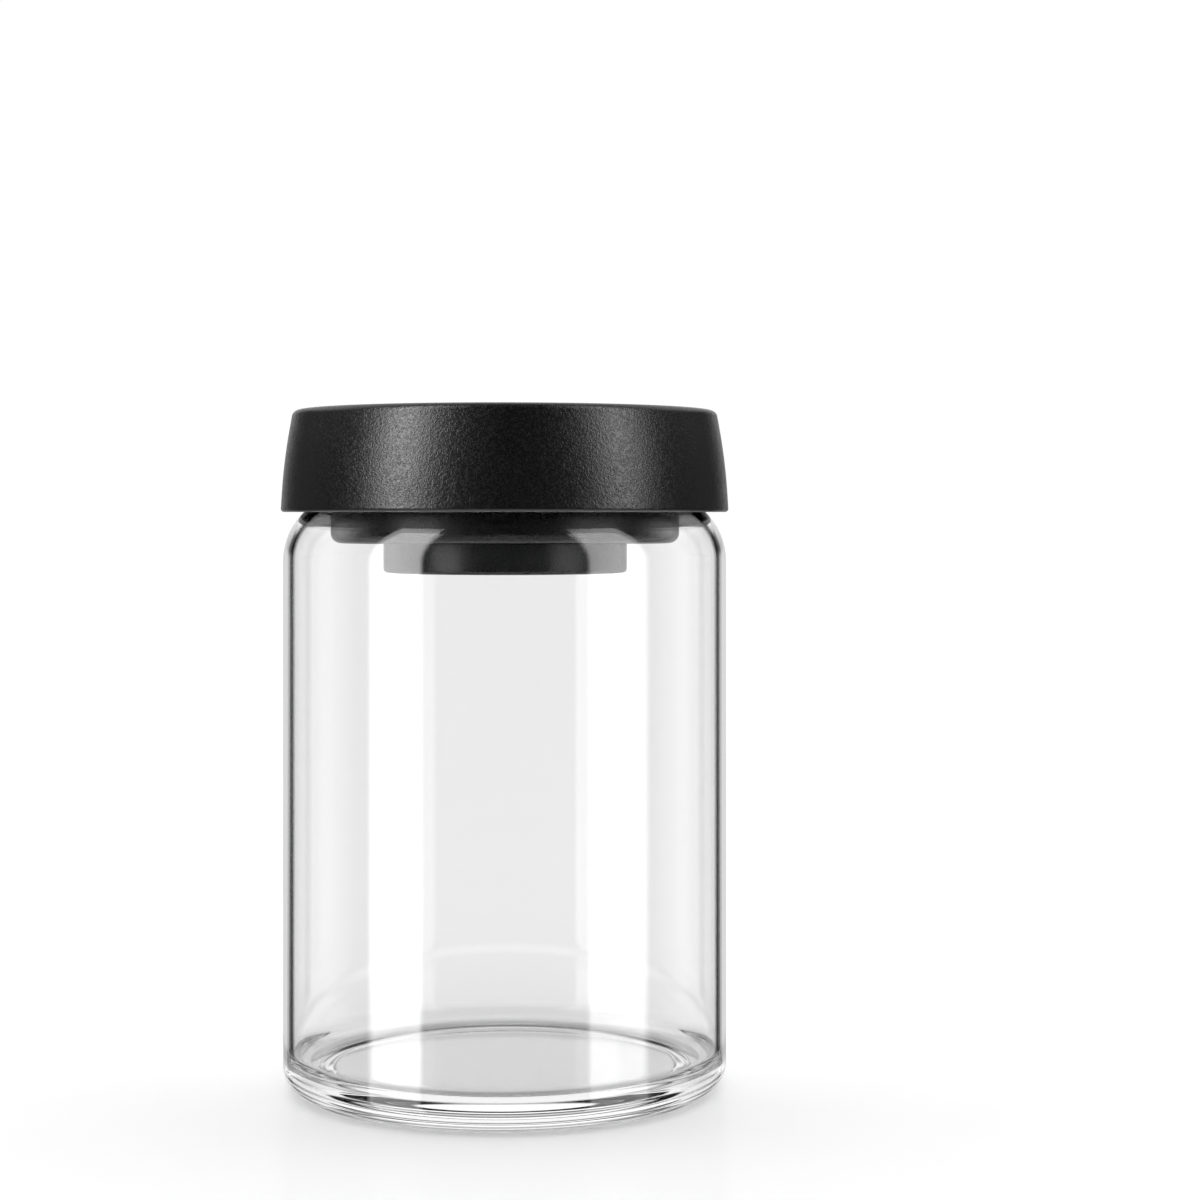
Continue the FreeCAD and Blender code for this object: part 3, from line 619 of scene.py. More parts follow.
def coiled(spring, place, material):
    """A compression spring whose first and last turns flatten out on their seats."""
    wire = spring.spring_wire
    radius = spring.spring_radius - wire / 2
    rise = spring.spring_top - spring.spring_bottom - wire
    pitch = rise / (spring.spring_turns - 1)
    points = []
    for step in range(spring.spring_turns * COIL_STEPS + 1):
        turn = step / COIL_STEPS
        left = spring.spring_turns - turn
        if turn < 1:
            height = pitch * turn ** 2 / 2
        elif left < 1:
            height = rise - pitch * left ** 2 / 2
        else:
            height = pitch * (turn - 0.5)
        points.append((place[0] + radius * math.cos(math.tau * turn), place[1] + radius * math.sin(math.tau * turn),
                       spring.spring_bottom + wire / 2 + height))
    path = bpy.data.meshes.new("path")
    path.from_pydata(points, [(index, index + 1) for index in range(len(points) - 1)], [])
    return closed_up(grown(draw_wire(), path, {"Wire radius": wire / 2, "Material": material}))


def closed_up(mesh):
    """The mesh with doubles merged and its faces pointing outwards."""
    shape = bmesh.new()
    shape.from_mesh(mesh)
    bmesh.ops.remove_doubles(shape, verts=shape.verts, dist=MERGE_GAP)
    bmesh.ops.dissolve_degenerate(shape, edges=shape.edges, dist=MERGE_GAP)
    bmesh.ops.recalc_face_normals(shape, faces=shape.faces)
    shape.to_mesh(mesh)
    shape.free()
    return mesh


def rod(radius, bottom, top, place, steps, material, edge=0.0):
    """A turned rod, with both ends rounded where edge is given."""
    points = outline((0, bottom), (radius, bottom, edge), (radius, top, edge), (0, top))
    return turned(points, steps, material, place)


def slab(corners, thickness):
    """A flat piece in the XZ plane with its middle on that plane."""
    shape = bmesh.new()
    face = shape.faces.new([shape.verts.new((x, -thickness / 2, z)) for x, z in corners])
    made = bmesh.ops.extrude_face_region(shape, geom=[face])
    moved = [item for item in made["geom"] if isinstance(item, bmesh.types.BMVert)]
    bmesh.ops.translate(shape, verts=moved, vec=(0, thickness, 0))
    bmesh.ops.recalc_face_normals(shape, faces=shape.faces)
    mesh = bpy.data.meshes.new("slab")
    shape.to_mesh(mesh)
    shape.free()
    return mesh


def joined(*meshes):
    """One mesh of several closed shells. The given meshes are removed."""
    shape = bmesh.new()
    for mesh in meshes:
        shape.from_mesh(mesh)
    whole = bpy.data.meshes.new("joined")
    shape.to_mesh(whole)
    shape.free()
    for material in meshes[0].materials:
        whole.materials.append(material)
    for mesh in meshes:
        bpy.data.meshes.remove(mesh)
    return whole


def carved(mesh, tool, operation="DIFFERENCE"):
    """The mesh with a tool's shells taken out of it or added to it."""
    host = held("carved", mesh)
    cutter = held("tool", tool)
    modifier = host.modifiers.new("carve", "BOOLEAN")
    modifier.operation = operation
    modifier.solver = "MANIFOLD"
    modifier.object = cutter
    made = baked(host)
    bpy.data.objects.remove(cutter)
    bpy.data.meshes.remove(tool)
    return closed_up(made)


def finished(name, mesh, material, body, slot, *nodes):
    """A finished piece at its place in the frame, smooth but for its creases."""
    mesh.materials.clear()
    mesh.materials.append(material)
    mesh.shade_smooth()
    mesh.set_sharp_from_angle(angle=CREASE_ANGLE)
    host = held(name, mesh)
    weighted = host.modifiers.new("flat faces first", "WEIGHTED_NORMAL")
    weighted.keep_sharp = True
    mesh = baked(host)
    mesh.name = name
    piece = held(name, mesh)
    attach(piece, body)
    if nodes:
        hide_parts(*nodes)
    return piece


@built_once
def leather_grain(name):
    """Shader nodes for a fine leather grain: its height and its valleys."""
    tree, given, result = new_tree(name, "Shader", {"Vector": "Vector", "Size": "Float"},
                                   {"Height": "Float", "Valley": "Float"})
    scaled = add(tree, "ShaderNodeVectorMath",
                 {0: given["Vector"], "Scale": math_node(tree, "DIVIDE", 1.0, given["Size"])},
                 operation="SCALE").outputs[0]
    drift = add(tree, "ShaderNodeTexNoise", {"Vector": scaled, "Scale": 0.35, "Detail": 1.0}).outputs["Color"]
    centred = add(tree, "ShaderNodeVectorMath", {0: drift, 1: (0.5, 0.5, 0.5)}, operation="SUBTRACT").outputs[0]
    bent = add(tree, "ShaderNodeVectorMath", {0: centred, 1: GRAIN_BEND, 2: scaled},
               operation="MULTIPLY_ADD").outputs[0]
    waves = add(tree, "ShaderNodeTexNoise",
                {"Vector": bent, "Scale": 0.62, "Detail": 2.0, "Roughness": 0.45}).outputs[0]
    away = math_node(tree, "ABSOLUTE", math_node(tree, "SUBTRACT", waves, 0.5))
    slope = math_node(tree, "MINIMUM", times(tree, away, RIDGE_SHARPNESS), 1.0)
    ridge = math_node(tree, "SUBTRACT", 1.0, slope)
    cells = add(tree, "ShaderNodeTexVoronoi", {"Vector": bent, "Scale": 0.7, "Smoothness": 0.6},
                feature="SMOOTH_F1").outputs["Distance"]
    pebble = math_node(tree, "SUBTRACT", 1.0, cells)
    height = math_node(tree, "ADD", times(tree, ridge, RIDGE_SHARE), times(tree, pebble, PEBBLE_SHARE))
    tree.links.new(height, result["Height"])
    tree.links.new(math_node(tree, "SUBTRACT", 1.0, ridge), result["Valley"])
    return tree


@built_once
def tone_drift(name):
    """Shader nodes for the slow drift of tone over a surface and for fine specks on it."""
    tree, given, result = new_tree(name, "Shader", {"Vector": "Vector", "Size": "Float", "Speck size": "Float"},
                                   {"Tone": "Float", "Speck": "Float"})
    for label, detail, size_name in (("Tone", 3.0, "Size"), ("Speck", 2.0, "Speck size")):
        noise = add(tree, "ShaderNodeTexNoise",
                    {"Vector": given["Vector"], "Scale": math_node(tree, "DIVIDE", 1.0, given[size_name]),
                     "Detail": detail})
        spread = add(tree, "ShaderNodeMapRange", {"Value": noise.outputs[0], "From Min": 0.3, "From Max": 0.7})
        tree.links.new(spread.outputs["Result"], result[label])
    return tree


def new_material(name):
    """A new material with its tree, its shader and its object coordinates."""
    material = bpy.data.materials.new(name)
    material.use_nodes = True
    tree = material.node_tree
    tree.nodes.clear()
    shader = add(tree, "ShaderNodeBsdfPrincipled")
    end = add(tree, "ShaderNodeOutputMaterial", {"Surface": shader.outputs["BSDF"]})
    place = add(tree, "ShaderNodeTexCoord").outputs["Object"]
    return material, tree, shader, end, place


def grouped(tree, group, inputs):
    """The outputs of a shader group placed in a material."""
    return add(tree, "ShaderNodeGroup", inputs, node_tree=group).outputs


def ranged(tree, value, low, high):
    """A value from 0 to 1 spread from low to high."""
    return add(tree, "ShaderNodeMapRange", {"Value": value, "To Min": low, "To Max": high}).outputs["Result"]


def smoothed(tree, value, start, end):
    """A smooth step from 0 at start to 1 at end."""
    return add(tree, "ShaderNodeMapRange", {"Value": value, "From Min": start, "From Max": end},
               interpolation_type="SMOOTHSTEP").outputs["Result"]


def shaded(tree, factor, colour, change):
    """A colour that drifts from darker to lighter by a share."""
    return add(tree, "ShaderNodeMix",
               {0: factor, 6: (*[c * (1 - change) for c in colour], 1.0),
                7: (*[c * (1 + change) for c in colour], 1.0)},
               data_type="RGBA").outputs[2]


def bumped(tree, height, depth):
    """A normal from a height from 0 to 1."""
    return add(tree, "ShaderNodeBump", {"Height": height, "Distance": depth}).outputs["Normal"]


def mixed(tree, switch, off, on):
    """A node that mixes the shaders of two nodes."""
    return add(tree, "ShaderNodeMixShader", {0: switch, 1: off.outputs[0], 2: on.outputs[0]})


def satin(name, colour, roughness, spread=0.06, change=0.2, tone_size=12 * MM, speck_size=0.25 * MM,
          speck_depth=0.004 * MM, metallic=0.0, ior=1.46, subsurface=0.0):
    """A smooth moulded, rubbed or metal surface with a slow drift of tone and fine specks."""
    material, tree, shader, _, place = new_material(name)
    drift = grouped(tree, tone_drift(), {"Vector": place, "Size": tone_size, "Speck size": speck_size})
    fill(tree, shader, {
        "Metallic": metallic, "IOR": ior, "Subsurface Weight": subsurface, "Subsurface Scale": 1.0 * MM,
        "Base Color": shaded(tree, drift["Tone"], colour, change),
        "Roughness": ranged(tree, drift["Speck"], roughness - spread, roughness + spread),
        "Normal": bumped(tree, drift["Speck"], speck_depth),
    })
    return material


def grained(name, colour, grain_size, grain_depth, roughness, ior, smooth_within=0.0):
    """A moulded black with a leather grain, which fades inside a radius where one is given."""
    material, tree, shader, _, place = new_material(name)
    grain = grouped(tree, leather_grain(), {"Vector": place, "Size": grain_size})
    drift = grouped(tree, tone_drift(), {"Vector": place, "Size": 14 * MM, "Speck size": 0.3 * MM})
    height = grain["Height"]
    rough = ranged(tree, grain["Valley"], roughness - RIDGE_SMOOTHER, roughness + VALLEY_ROUGHER)
    if smooth_within:
        flat = add(tree, "ShaderNodeVectorMath", {0: place, 1: (1.0, 1.0, 0.0)}, operation="MULTIPLY").outputs[0]
        radius = add(tree, "ShaderNodeVectorMath", {0: flat}, operation="LENGTH").outputs["Value"]
        fade = add(tree, "ShaderNodeMapRange",
                   {"Value": radius, "From Min": smooth_within + FADE_START, "From Max": smooth_within + FADE_END,
                    "To Min": FADED_GRAIN, "To Max": 1.0}).outputs["Result"]
        height = times(tree, height, fade)
        rough = math_node(tree, "ADD", rough, ranged(tree, fade, FADED_ROUGHER, 0.0))
    fill(tree, shader, {"IOR": ior, "Base Color": shaded(tree, drift["Tone"], colour, 0.25), "Roughness": rough,
                        "Normal": bumped(tree, height, grain_depth)})
    return material


def clear_glass(colour):
    """Clear glass with the faint waves of a blown wall, which lets light through to what it holds."""
    material, tree, shader, end, place = new_material("clear_glass")
    drift = grouped(tree, tone_drift(), {"Vector": place, "Size": 26 * MM, "Speck size": 9 * MM})
    fill(tree, shader, {"Base Color": (*colour, 1.0), "Roughness": 0.0, "IOR": GLASS_IOR, "Transmission Weight": 1.0,
                        "Normal": bumped(tree, drift["Tone"], 0.002 * MM)})
    light = tree.nodes.new("ShaderNodeLightPath").outputs
    through = add(tree, "ShaderNodeBsdfTransparent", {"Color": GLASS_SHADOW})
    fill(tree, end, {"Surface": mixed(tree, light["Is Shadow Ray"], shader, through).outputs[0]})
    return material


def table_top(colour):
    """A pale table with a faint polish. What is seen in a reflection is the studio and not the table."""
    material, tree, shader, end, place = new_material("pale_table")
    drift = grouped(tree, tone_drift(), {"Vector": place, "Size": 60 * MM, "Speck size": 1.0 * MM})
    fill(tree, shader, {"Specular IOR Level": 0.0, "Roughness": 1.0,
                        "Base Color": shaded(tree, drift["Tone"], colour, 0.004)})
    polish = add(tree, "ShaderNodeBsdfAnisotropic", {"Color": WHITE, "Roughness": POLISH_ROUGHNESS})
    waxed = mixed(tree, POLISH_SHARE, shader, polish)
    light = tree.nodes.new("ShaderNodeLightPath").outputs
    gone = add(tree, "ShaderNodeBsdfTransparent")
    fill(tree, end, {"Surface": mixed(tree, beyond(tree, light["Glossy Depth"]), waxed, gone).outputs[0]})
    return material


def chosen(tree, switch, off, on):
    """One of two values."""
    return add(tree, "ShaderNodeMix", {0: switch, 2: off, 3: on}, data_type="FLOAT").outputs[0]


def studio(stage):
    """A white studio: a sweep behind the jar, a dark ring round the sweep, pale sides and a dark front."""
    world = bpy.data.worlds.new("white_studio")
    world.use_nodes = True
    world.cycles.sampling_method = "NONE"
    tree = world.node_tree
    tree.nodes.clear()
    light = tree.nodes.new("ShaderNodeLightPath").outputs
    way = tree.nodes.new("ShaderNodeTexCoord").outputs["Generated"]
    height = add(tree, "ShaderNodeSeparateXYZ", {0: way}).outputs["Z"]
    ahead = add(tree, "ShaderNodeVectorMath", {0: way, 1: VIEW_LINE}, operation="DOT_PRODUCT").outputs["Value"]
    above = chosen(tree, smoothed(tree, height, *SKY_START), stage.sweep_level, stage.sky_level)
    sweep = times(tree, smoothed(tree, ahead, *SWEEP_EDGE), above)
    ground = smoothed(tree, height, *GROUND_START)
    behind = smoothed(tree, ahead, *BEHIND_JAR)
    sides = times(tree, behind, smoothed(tree, ahead, *SIDES_EDGE))
    ceiling = times(tree, behind, smoothed(tree, height, *CEILING_START))
    outside = most(tree, sweep, times(tree, sides, OUTER_SIDES_LEVEL), ceiling, ground)
    panel = times(tree, smoothed(tree, height, *PANEL_FOOT), smoothed(tree, height, *PANEL_TOP))
    bright = most(tree, panel, smoothed(tree, height, *BAND_FOOT))
    within = most(tree, times(tree, sweep, ranged(tree, bright, BAND_LEVEL, 1.0)), sides, ground)
    mirror = chosen(tree, beyond(tree, light["Transmission Depth"]), outside, within)
    kept = chosen(tree, beyond(tree, light["Diffuse Depth"]), 1.0, AFTER_TABLE_LEVEL)
    rise = times(tree, math_node(tree, "POWER", height, 2.0), DOME_RISE)
    dome = times(tree, math_node(tree, "ADD", rise, DOME_RIM), stage.dome_level)
    plain = chosen(tree, light["Is Diffuse Ray"], stage.backdrop_level, dome)
    level = chosen(tree, beyond(tree, light["Glossy Depth"]), plain, times(tree, mirror, kept))
    back = add(tree, "ShaderNodeBackground", {"Color": WHITE, "Strength": level})
    add(tree, "ShaderNodeOutputWorld", {"Surface": back.outputs["Background"]})
    return world


def softbox(stage, side, tier):
    """A tall softbox beside the camera that shows in reflections only."""
    near, far, level = (getattr(stage, f"{side}_{tier}_{key}") for key in ("from", "to", "level"))
    bottom, top, soft = (getattr(stage, f"{tier}_{key}") for key in ("foot", "top", "soft"))
    sign, inner_end, outer_end = (-1, 1.0, 0.0) if side == "left" else (1, 0.0, 1.0)
    name = f"{side}_{tier}_softbox"
    angle = (near + far) / 2
    width = 2 * stage.box_distance * math.tan((far - near) / 2)
    lamp = bpy.data.lights.new(name, "AREA")
    lamp.shape = "RECTANGLE"
    lamp.size = width
    lamp.size_y = top - bottom
    lamp.energy = math.pi * width * (top - bottom) * level
    lamp.use_nodes = True
    tree = lamp.node_tree
    across = add(tree, "ShaderNodeSeparateXYZ", {0: tree.nodes.new("ShaderNodeNewGeometry").outputs["Parametric"]})
    inner = smoothed(tree, across.outputs["X"], inner_end, inner_end + sign * soft)
    outer = smoothed(tree, across.outputs["X"], outer_end, outer_end - sign * OUTER_FADE)
    upper = smoothed(tree, across.outputs["Y"], 1.0, 1.0 - TOP_FADE)
    edge = times(tree, times(tree, inner, outer), upper)
    depth = tree.nodes.new("ShaderNodeLightPath").outputs["Transmission Depth"]
    kept = chosen(tree, beyond(tree, depth, DEEP_RAY), 1.0, DEEP_LEVEL)
    tree.links.new(times(tree, edge, kept), tree.nodes["Emission"].inputs["Strength"])
    box = held(name, lamp)
    box.location = (sign * stage.box_distance * math.sin(angle), -stage.box_distance * math.cos(angle),
                    (bottom + top) / 2)
    inward = Vector((-box.location.x, -box.location.y, 0.0))
    box.rotation_euler = inward.to_track_quat("-Z", "Y").to_euler()
    box.visible_camera = False
    box.visible_diffuse = False


def sizes(context, *names):
    """The property groups of the given names."""
    return [getattr(context.scene, "canister_" + name) for name in names]


def peg_places(deck):
    """Places of the deck's pegs."""
    return [(deck.peg_circle * math.cos(angle), deck.peg_circle * math.sin(angle), 0) for angle in PEG_ANGLES]


class CANISTER_OT_stage(Operator):
    """Make the pale table, the white studio, four softboxes and the camera."""

    bl_idname = "canister.stage"
    bl_label = "Stage"

    def execute(self, context):
        stage, look = sizes(context, "stage", "finishes")
        angles = [math.tau * step / TABLE_STEPS for step in range(TABLE_STEPS)]
        corners = [(stage.table_radius * math.cos(angle), stage.table_radius * math.sin(angle), -TABLE_DROP)
                   for angle in angles]
        top = bpy.data.meshes.new("pale_table")
        top.from_pydata(corners, [], [range(TABLE_STEPS)])
        top.materials.append(table_top(look.table))
        held("pale_table", top)
        context.scene.world = studio(stage)
        for side in ("left", "right"):
            for tier in ("low", "high"):
                softbox(stage, side, tier)
        lens = bpy.data.cameras.new("camera")
        lens.sensor_width = 36.0
        lens.lens = stage.lens
        lens.shift_y = stage.shift
        camera = held("camera", lens)
        camera.location = stage.eye
        camera.rotation_euler = (math.pi / 2, 0.0, 0.0)
        context.scene.camera = camera
        context.scene.view_settings.view_transform = "Standard"
        context.scene.cycles.max_bounces = 32
        context.scene.cycles.glossy_bounces = 24
        context.scene.cycles.transmission_bounces = 24
        return {"FINISHED"}


class CANISTER_OT_glass_jar(Operator):
    """Make the clear glass jar with its shoulder, neck, heavy heel and pushed-up floor."""

    bl_idname = "canister.glass_jar"
    bl_label = "Glass jar"

    def execute(self, context):
        jar, look = sizes(context, "jar", "finishes")
        foot = jar.radius - jar.heel
        hollow_edge = foot - jar.foot_width
        inner = jar.radius - jar.wall
        neck = jar.radius - jar.neck_step
        start = jar.height - jar.shoulder_drop
        centre = (jar.radius - jar.shoulder_radius, start)
        hollow_radius = neck + jar.neck_fillet
        reach = jar.shoulder_radius + jar.neck_fillet
        hollow = (hollow_radius, start + math.sqrt(reach ** 2 - (hollow_radius - centre[0]) ** 2))
        turn = math.atan2(hollow[1] - start, hollow[0] - centre[0])
        points = outline((0, jar.push_up), (hollow_edge - jar.push_up_slope, jar.push_up, jar.push_up_round),
                         (hollow_edge, 0, jar.push_up_round), (jar.radius, 0, jar.heel), (jar.radius, start))
        points += arc(centre, jar.shoulder_radius, 0, turn)
        points += arc(hollow, jar.neck_fillet, turn + math.pi, math.pi)
        points += outline((neck, hollow[1]), (neck, jar.height, jar.rim_round),
                          (neck - jar.wall, jar.height, jar.rim_round), (neck - jar.wall, hollow[1]))
        points += arc(hollow, jar.neck_fillet + jar.wall, math.pi, turn + math.pi)
        points += arc(centre, jar.shoulder_radius - jar.wall, turn, 0)
        points += outline((inner, start), (inner, jar.floor, jar.floor_corner), (0, jar.floor))
        glass = clear_glass(look.glass)
        piece = finished("clear_jar", turned(points, jar.steps, glass), glass, "jar", "clear_glass", "glass_jar")
        for tier, state in (("low", "INCLUDE"), ("high", "EXCLUDE")):
            group = bpy.data.collections.new(tier + "_light_on_glass")
            group.objects.link(piece)
            group.collection_objects[0].light_linking.link_state = state
            for side in ("left", "right"):
                bpy.data.objects[f"{side}_{tier}_softbox"].light_linking.receiver_collection = group
        return {"FINISHED"}


class CANISTER_OT_lid_shell(Operator):
    """Make the grained black lid with its conical recess, and the ribs in its hollow rim."""

    bl_idname = "canister.lid_shell"
    bl_label = "Lid shell and ribs"

    def execute(self, context):
        lid, deck, plug, release, look = sizes(context, "lid", "deck", "plug", "release", "finishes")
        deck_top = lid.top - lid.recess_depth
        seat = deck_top - lid.seat_depth
        ledge_bottom = seat - lid.ledge
        top_radius = lid.skirt_radius - lid.taper
        lip = top_radius - lid.rim_width
        collar = lid.seat_radius + lid.wall
        ceiling = lid.top - lid.channel_drop
        cone = lid.seat_radius + (lip - lid.seat_radius) * (ceiling - deck_top) / lid.recess_depth
        channel_inner = cone + lid.wall
        channel_outer = channel_inner + lid.channel_width
        skirt_inner = lid.skirt_radius - lid.skirt_wall
        bulge = lid.skirt_radius - lid.taper * lid.taper_share
        edge = 0.3 * MM
        seam = ((channel_outer + skirt_inner) / 2, (ceiling + lid.bottom) / 2)
        black = grained("grained_black", look.lid, look.grain_size, look.grain_depth, roughness=0.33, ior=1.72,
                        smooth_within=lip)
        shell = turned(outline(
            seam,
            (skirt_inner, lid.bottom, edge),
            (lid.skirt_radius, lid.bottom, lid.skirt_round),
            (bulge, (lid.bottom + lid.top) / 2, lid.swell),
            (top_radius, lid.top, lid.rim_round),
            (lip, lid.top, lid.lip_round),
            (lid.seat_radius, deck_top, edge),
            (lid.seat_radius, seat, edge),
            (lid.ledge_radius, seat, edge),
            (lid.ledge_radius, ledge_bottom, edge),
            (collar, ledge_bottom, edge),
            (collar, deck_top, edge),
            (channel_inner, ceiling, edge),
            (channel_outer, ceiling, edge),
            seam,
        ), lid.steps, black)
        below, above = ledge_bottom - SPARE, seat + SPARE
        bores = [rod(release.radius + release.gap, below, above, (-release.offset, 0, 0), VENT_STEPS, black)]
        bores += [rod(deck.peg_radius + FIT, below, above, place, PEG_STEPS, black) for place in peg_places(deck)]
        head, shank = plug.screw_head + FIT, plug.screw_shank + FIT
        sink = turned(outline((0, below), (shank, below), (shank, seat - plug.screw_head_height - FIT),
                              (head, seat - FIT), (head, above), (0, above)),
                      SCREW_STEPS, black, (plug.screw_circle, 0, 0))
        bores.append(spaced(sink, plug.screw_count, math.pi / plug.screw_count, black))
        shell = carved(shell, joined(*bores))
        finished("grained_lid", shell, black, "lid", "grained_black", "lid_shell")
        sunk = lid.wall / 4
        rib = slab([(collar - sunk, lid.rib_foot), (skirt_inner - sunk, lid.rib_foot),
                    (channel_outer + sunk, ceiling + sunk), (channel_inner - sunk, ceiling + sunk),
                    (collar - sunk, deck_top)], lid.rib_thickness)
        ribs = spaced(rib, lid.rib_count, math.pi / lid.rib_count, black)
        finished("lid_ribs", ribs, black, "lid", "grained_black")
        return {"FINISHED"}


class CANISTER_OT_deck(Operator):
    """Make the deck with its raised bead, the sunk ring round the release button and its pegs."""

    bl_idname = "canister.deck"
    bl_label = "Deck"

    def execute(self, context):
        deck, release, look = sizes(context, "deck", "release", "finishes")
        bottom = deck.top - deck.thickness
        well_floor = deck.top - deck.well_depth
        bead = deck.radius - deck.bead_inset
        seam = ((deck.hole + deck.radius) / 2, bottom)
        black = grained("deck_black", look.deck, look.grain_size * DECK_GRAIN_SIZE,
                        look.grain_depth * DECK_GRAIN_DEPTH, roughness=0.42, ior=1.5)
        plate = turned(outline(
            seam,
            (deck.radius, bottom, EDGE),
            (deck.radius, deck.top, EDGE),
            (bead + deck.bead_width / 2, deck.top, EDGE),
            (bead, deck.top + deck.bead_height, EDGE),
            (bead - deck.bead_width / 2, deck.top, EDGE),
            (deck.hole, deck.top, deck.hole_round),
            (deck.hole, bottom, EDGE),
            seam,
        ), DECK_STEPS, black)
        above = deck.top + 0.03 * MM
        well = turned(outline(
            (0, bottom - SPARE),
            (deck.release_hole, bottom - SPARE),
            (deck.release_hole, well_floor, EDGE),
            (deck.well_radius, well_floor, 2 * EDGE),
            (deck.well_radius, above, 2 * EDGE),
            (deck.well_radius + SPARE, above),
            (deck.well_radius + SPARE, above + SPARE),
            (0, above + SPARE),
        ), WELL_STEPS, black, (-release.offset, 0, 0))
        plate = carved(plate, well)
        pegs = [rod(deck.peg_radius, bottom - deck.peg_length, bottom + EDGE, place, PEG_STEPS, black, EDGE)
                for place in peg_places(deck)]
        finished("deck", joined(plate, *pegs), black, "lid", "deck_black", "deck_plate")
        return {"FINISHED"}


class CANISTER_OT_plug(Operator):
    """Make the plug under the lid, its sealing ring and its countersunk screws."""

    bl_idname = "canister.plug"
    bl_label = "Plug, sealing ring and screws"

    def execute(self, context):
        plug, release, look = sizes(context, "plug", "release", "finishes")
        black = satin("plug_black", look.plug, roughness=0.30)
        groove = plug.radius - plug.groove_depth
        groove_bottom = plug.top - plug.groove_height
        cavity = plug.radius - plug.wall
        floor_top = plug.bottom + plug.floor
        seam = ((plug.hole + plug.radius) / 2, plug.bottom)
        cup = turned(outline(
            seam,
            (plug.radius, plug.bottom, plug.corner),
            (plug.radius, groove_bottom, EDGE),
            (groove, groove_bottom, EDGE),
            (groove, plug.top, EDGE),
            (cavity, plug.top, EDGE),
            (cavity, floor_top, 5 * EDGE),
            (plug.hole, floor_top, EDGE),
            (plug.hole, plug.bottom, EDGE),
            seam,
        ), plug.steps, black)
        vent = (-release.offset, 0, 0)
        pocket = plug.bottom + plug.vent_depth
        boss_top = pocket + plug.vent_rise
        screw_place = (plug.screw_circle, 0, 0)
        first = math.pi / plug.screw_count
        boss = rod(plug.boss, floor_top - EDGE, plug.top - EDGE, screw_place, SCREW_STEPS, black)
        bosses = joined(spaced(boss, plug.screw_count, first, black),
                        rod(plug.vent_boss, plug.bottom + EDGE, boss_top, vent, VENT_STEPS, black, EDGE))
        cup = carved(cup, bosses, "UNION")
        mouth = plug.bottom - 0.02 * MM
        tool = turned(outline(
            (0, plug.bottom - SPARE),
            (plug.vent_pocket + SPARE, plug.bottom - SPARE),
            (plug.vent_pocket + SPARE, mouth),
            (plug.vent_pocket, mouth, EDGE),
            (plug.vent_pocket, pocket, EDGE),
            (plug.vent_hole, pocket, EDGE),
            (plug.vent_hole, boss_top - plug.vent_seat_depth, EDGE),
            (plug.vent_seat, boss_top - plug.vent_seat_depth),
            (plug.vent_seat, boss_top + SPARE),
            (0, boss_top + SPARE),
        ), VENT_STEPS, black, vent)
        hole = rod(plug.screw_shank + FIT, screws_low.z - FIT, plug.top + SPARE, screw_place, PEG_STEPS, black)
        cup = carved(cup, joined(tool, spaced(hole, plug.screw_count, first, black)))
        finished("plug", cup, black, "lid", "plug_black", "lid_plug")

        rubber = satin("black_silicone", look.dark_silicone, roughness=0.55, tone_size=5 * MM)
        soft = 0.12 * MM
        pitch = plug.groove_height / plug.lip_count
        foot = groove + FIT
        flange_bottom = ring_high.z - plug.flange_thickness
        seam = (foot, (groove_bottom + plug.top) / 2)
        corners = [seam, (foot, groove_bottom, soft)]
        for index in range(plug.lip_count):
            level = groove_bottom + pitch * index
            corners.append((plug.lip_root, level, soft))
            corners += [(plug.lip_radius, level + pitch * part, soft) for part in LIP_SPAN]
        sleeve = plug.sleeve_radius + plug.sleeve_wall
        corners += [
            (sleeve, plug.top, soft),
            (sleeve, flange_bottom, soft),
            (plug.flange_radius, flange_bottom, 3 * soft),
            (plug.flange_radius, ring_high.z, 3 * soft),
            (plug.sleeve_radius, ring_high.z, soft),
            (plug.sleeve_radius, plug.top - FIT, soft),
            (foot, plug.top - FIT, soft),
            seam,
        ]
        ring = turned(outline(*corners), plug.steps, rubber)
        finished("seal_ring", ring, rubber, "lid", "black_silicone", "sealing_ring")

        steel = satin("screw_steel", look.steel, roughness=0.28, metallic=1.0, tone_size=2 * MM)
        tip, crown = screws_low.z, screws_high.z
        root = plug.screw_shank * THREAD_ROOT
        corners = [(0, tip), (root * 0.5, tip)]
        level = tip + plug.screw_pitch / 2
        while level < crown - plug.screw_head_height - 2 * FIT - plug.screw_pitch:
            corners.append((root, level))
            corners += [(plug.screw_shank, level + part * plug.screw_pitch) for part in CREST_SPAN]
            level += plug.screw_pitch
        corners += [(root, level), (plug.screw_shank, crown - plug.screw_head_height),
                    (plug.screw_head, crown - 2 * FIT), (plug.screw_head, crown), (0, crown)]
        screw = turned(outline(*corners), THREAD_STEPS, steel)
        half, slot_floor = plug.slot_length / 2, crown - plug.slot_depth
        slot = [(-half, slot_floor), (half, slot_floor), (half, crown + SPARE), (-half, crown + SPARE)]
        cross = slab(slot, plug.slot_width)
        cross.transform(Matrix.Rotation(math.pi / 2, 4, "Z"))
        screw = carved(screw, joined(slab(slot, plug.slot_width), cross))
        screw.transform(Matrix.Translation(screw_place))
        screws = spaced(screw, plug.screw_count, first, steel)
        finished("countersunk_screws", screws, steel, "lid", "steel", "plug_screws")
        return {"FINISHED"}


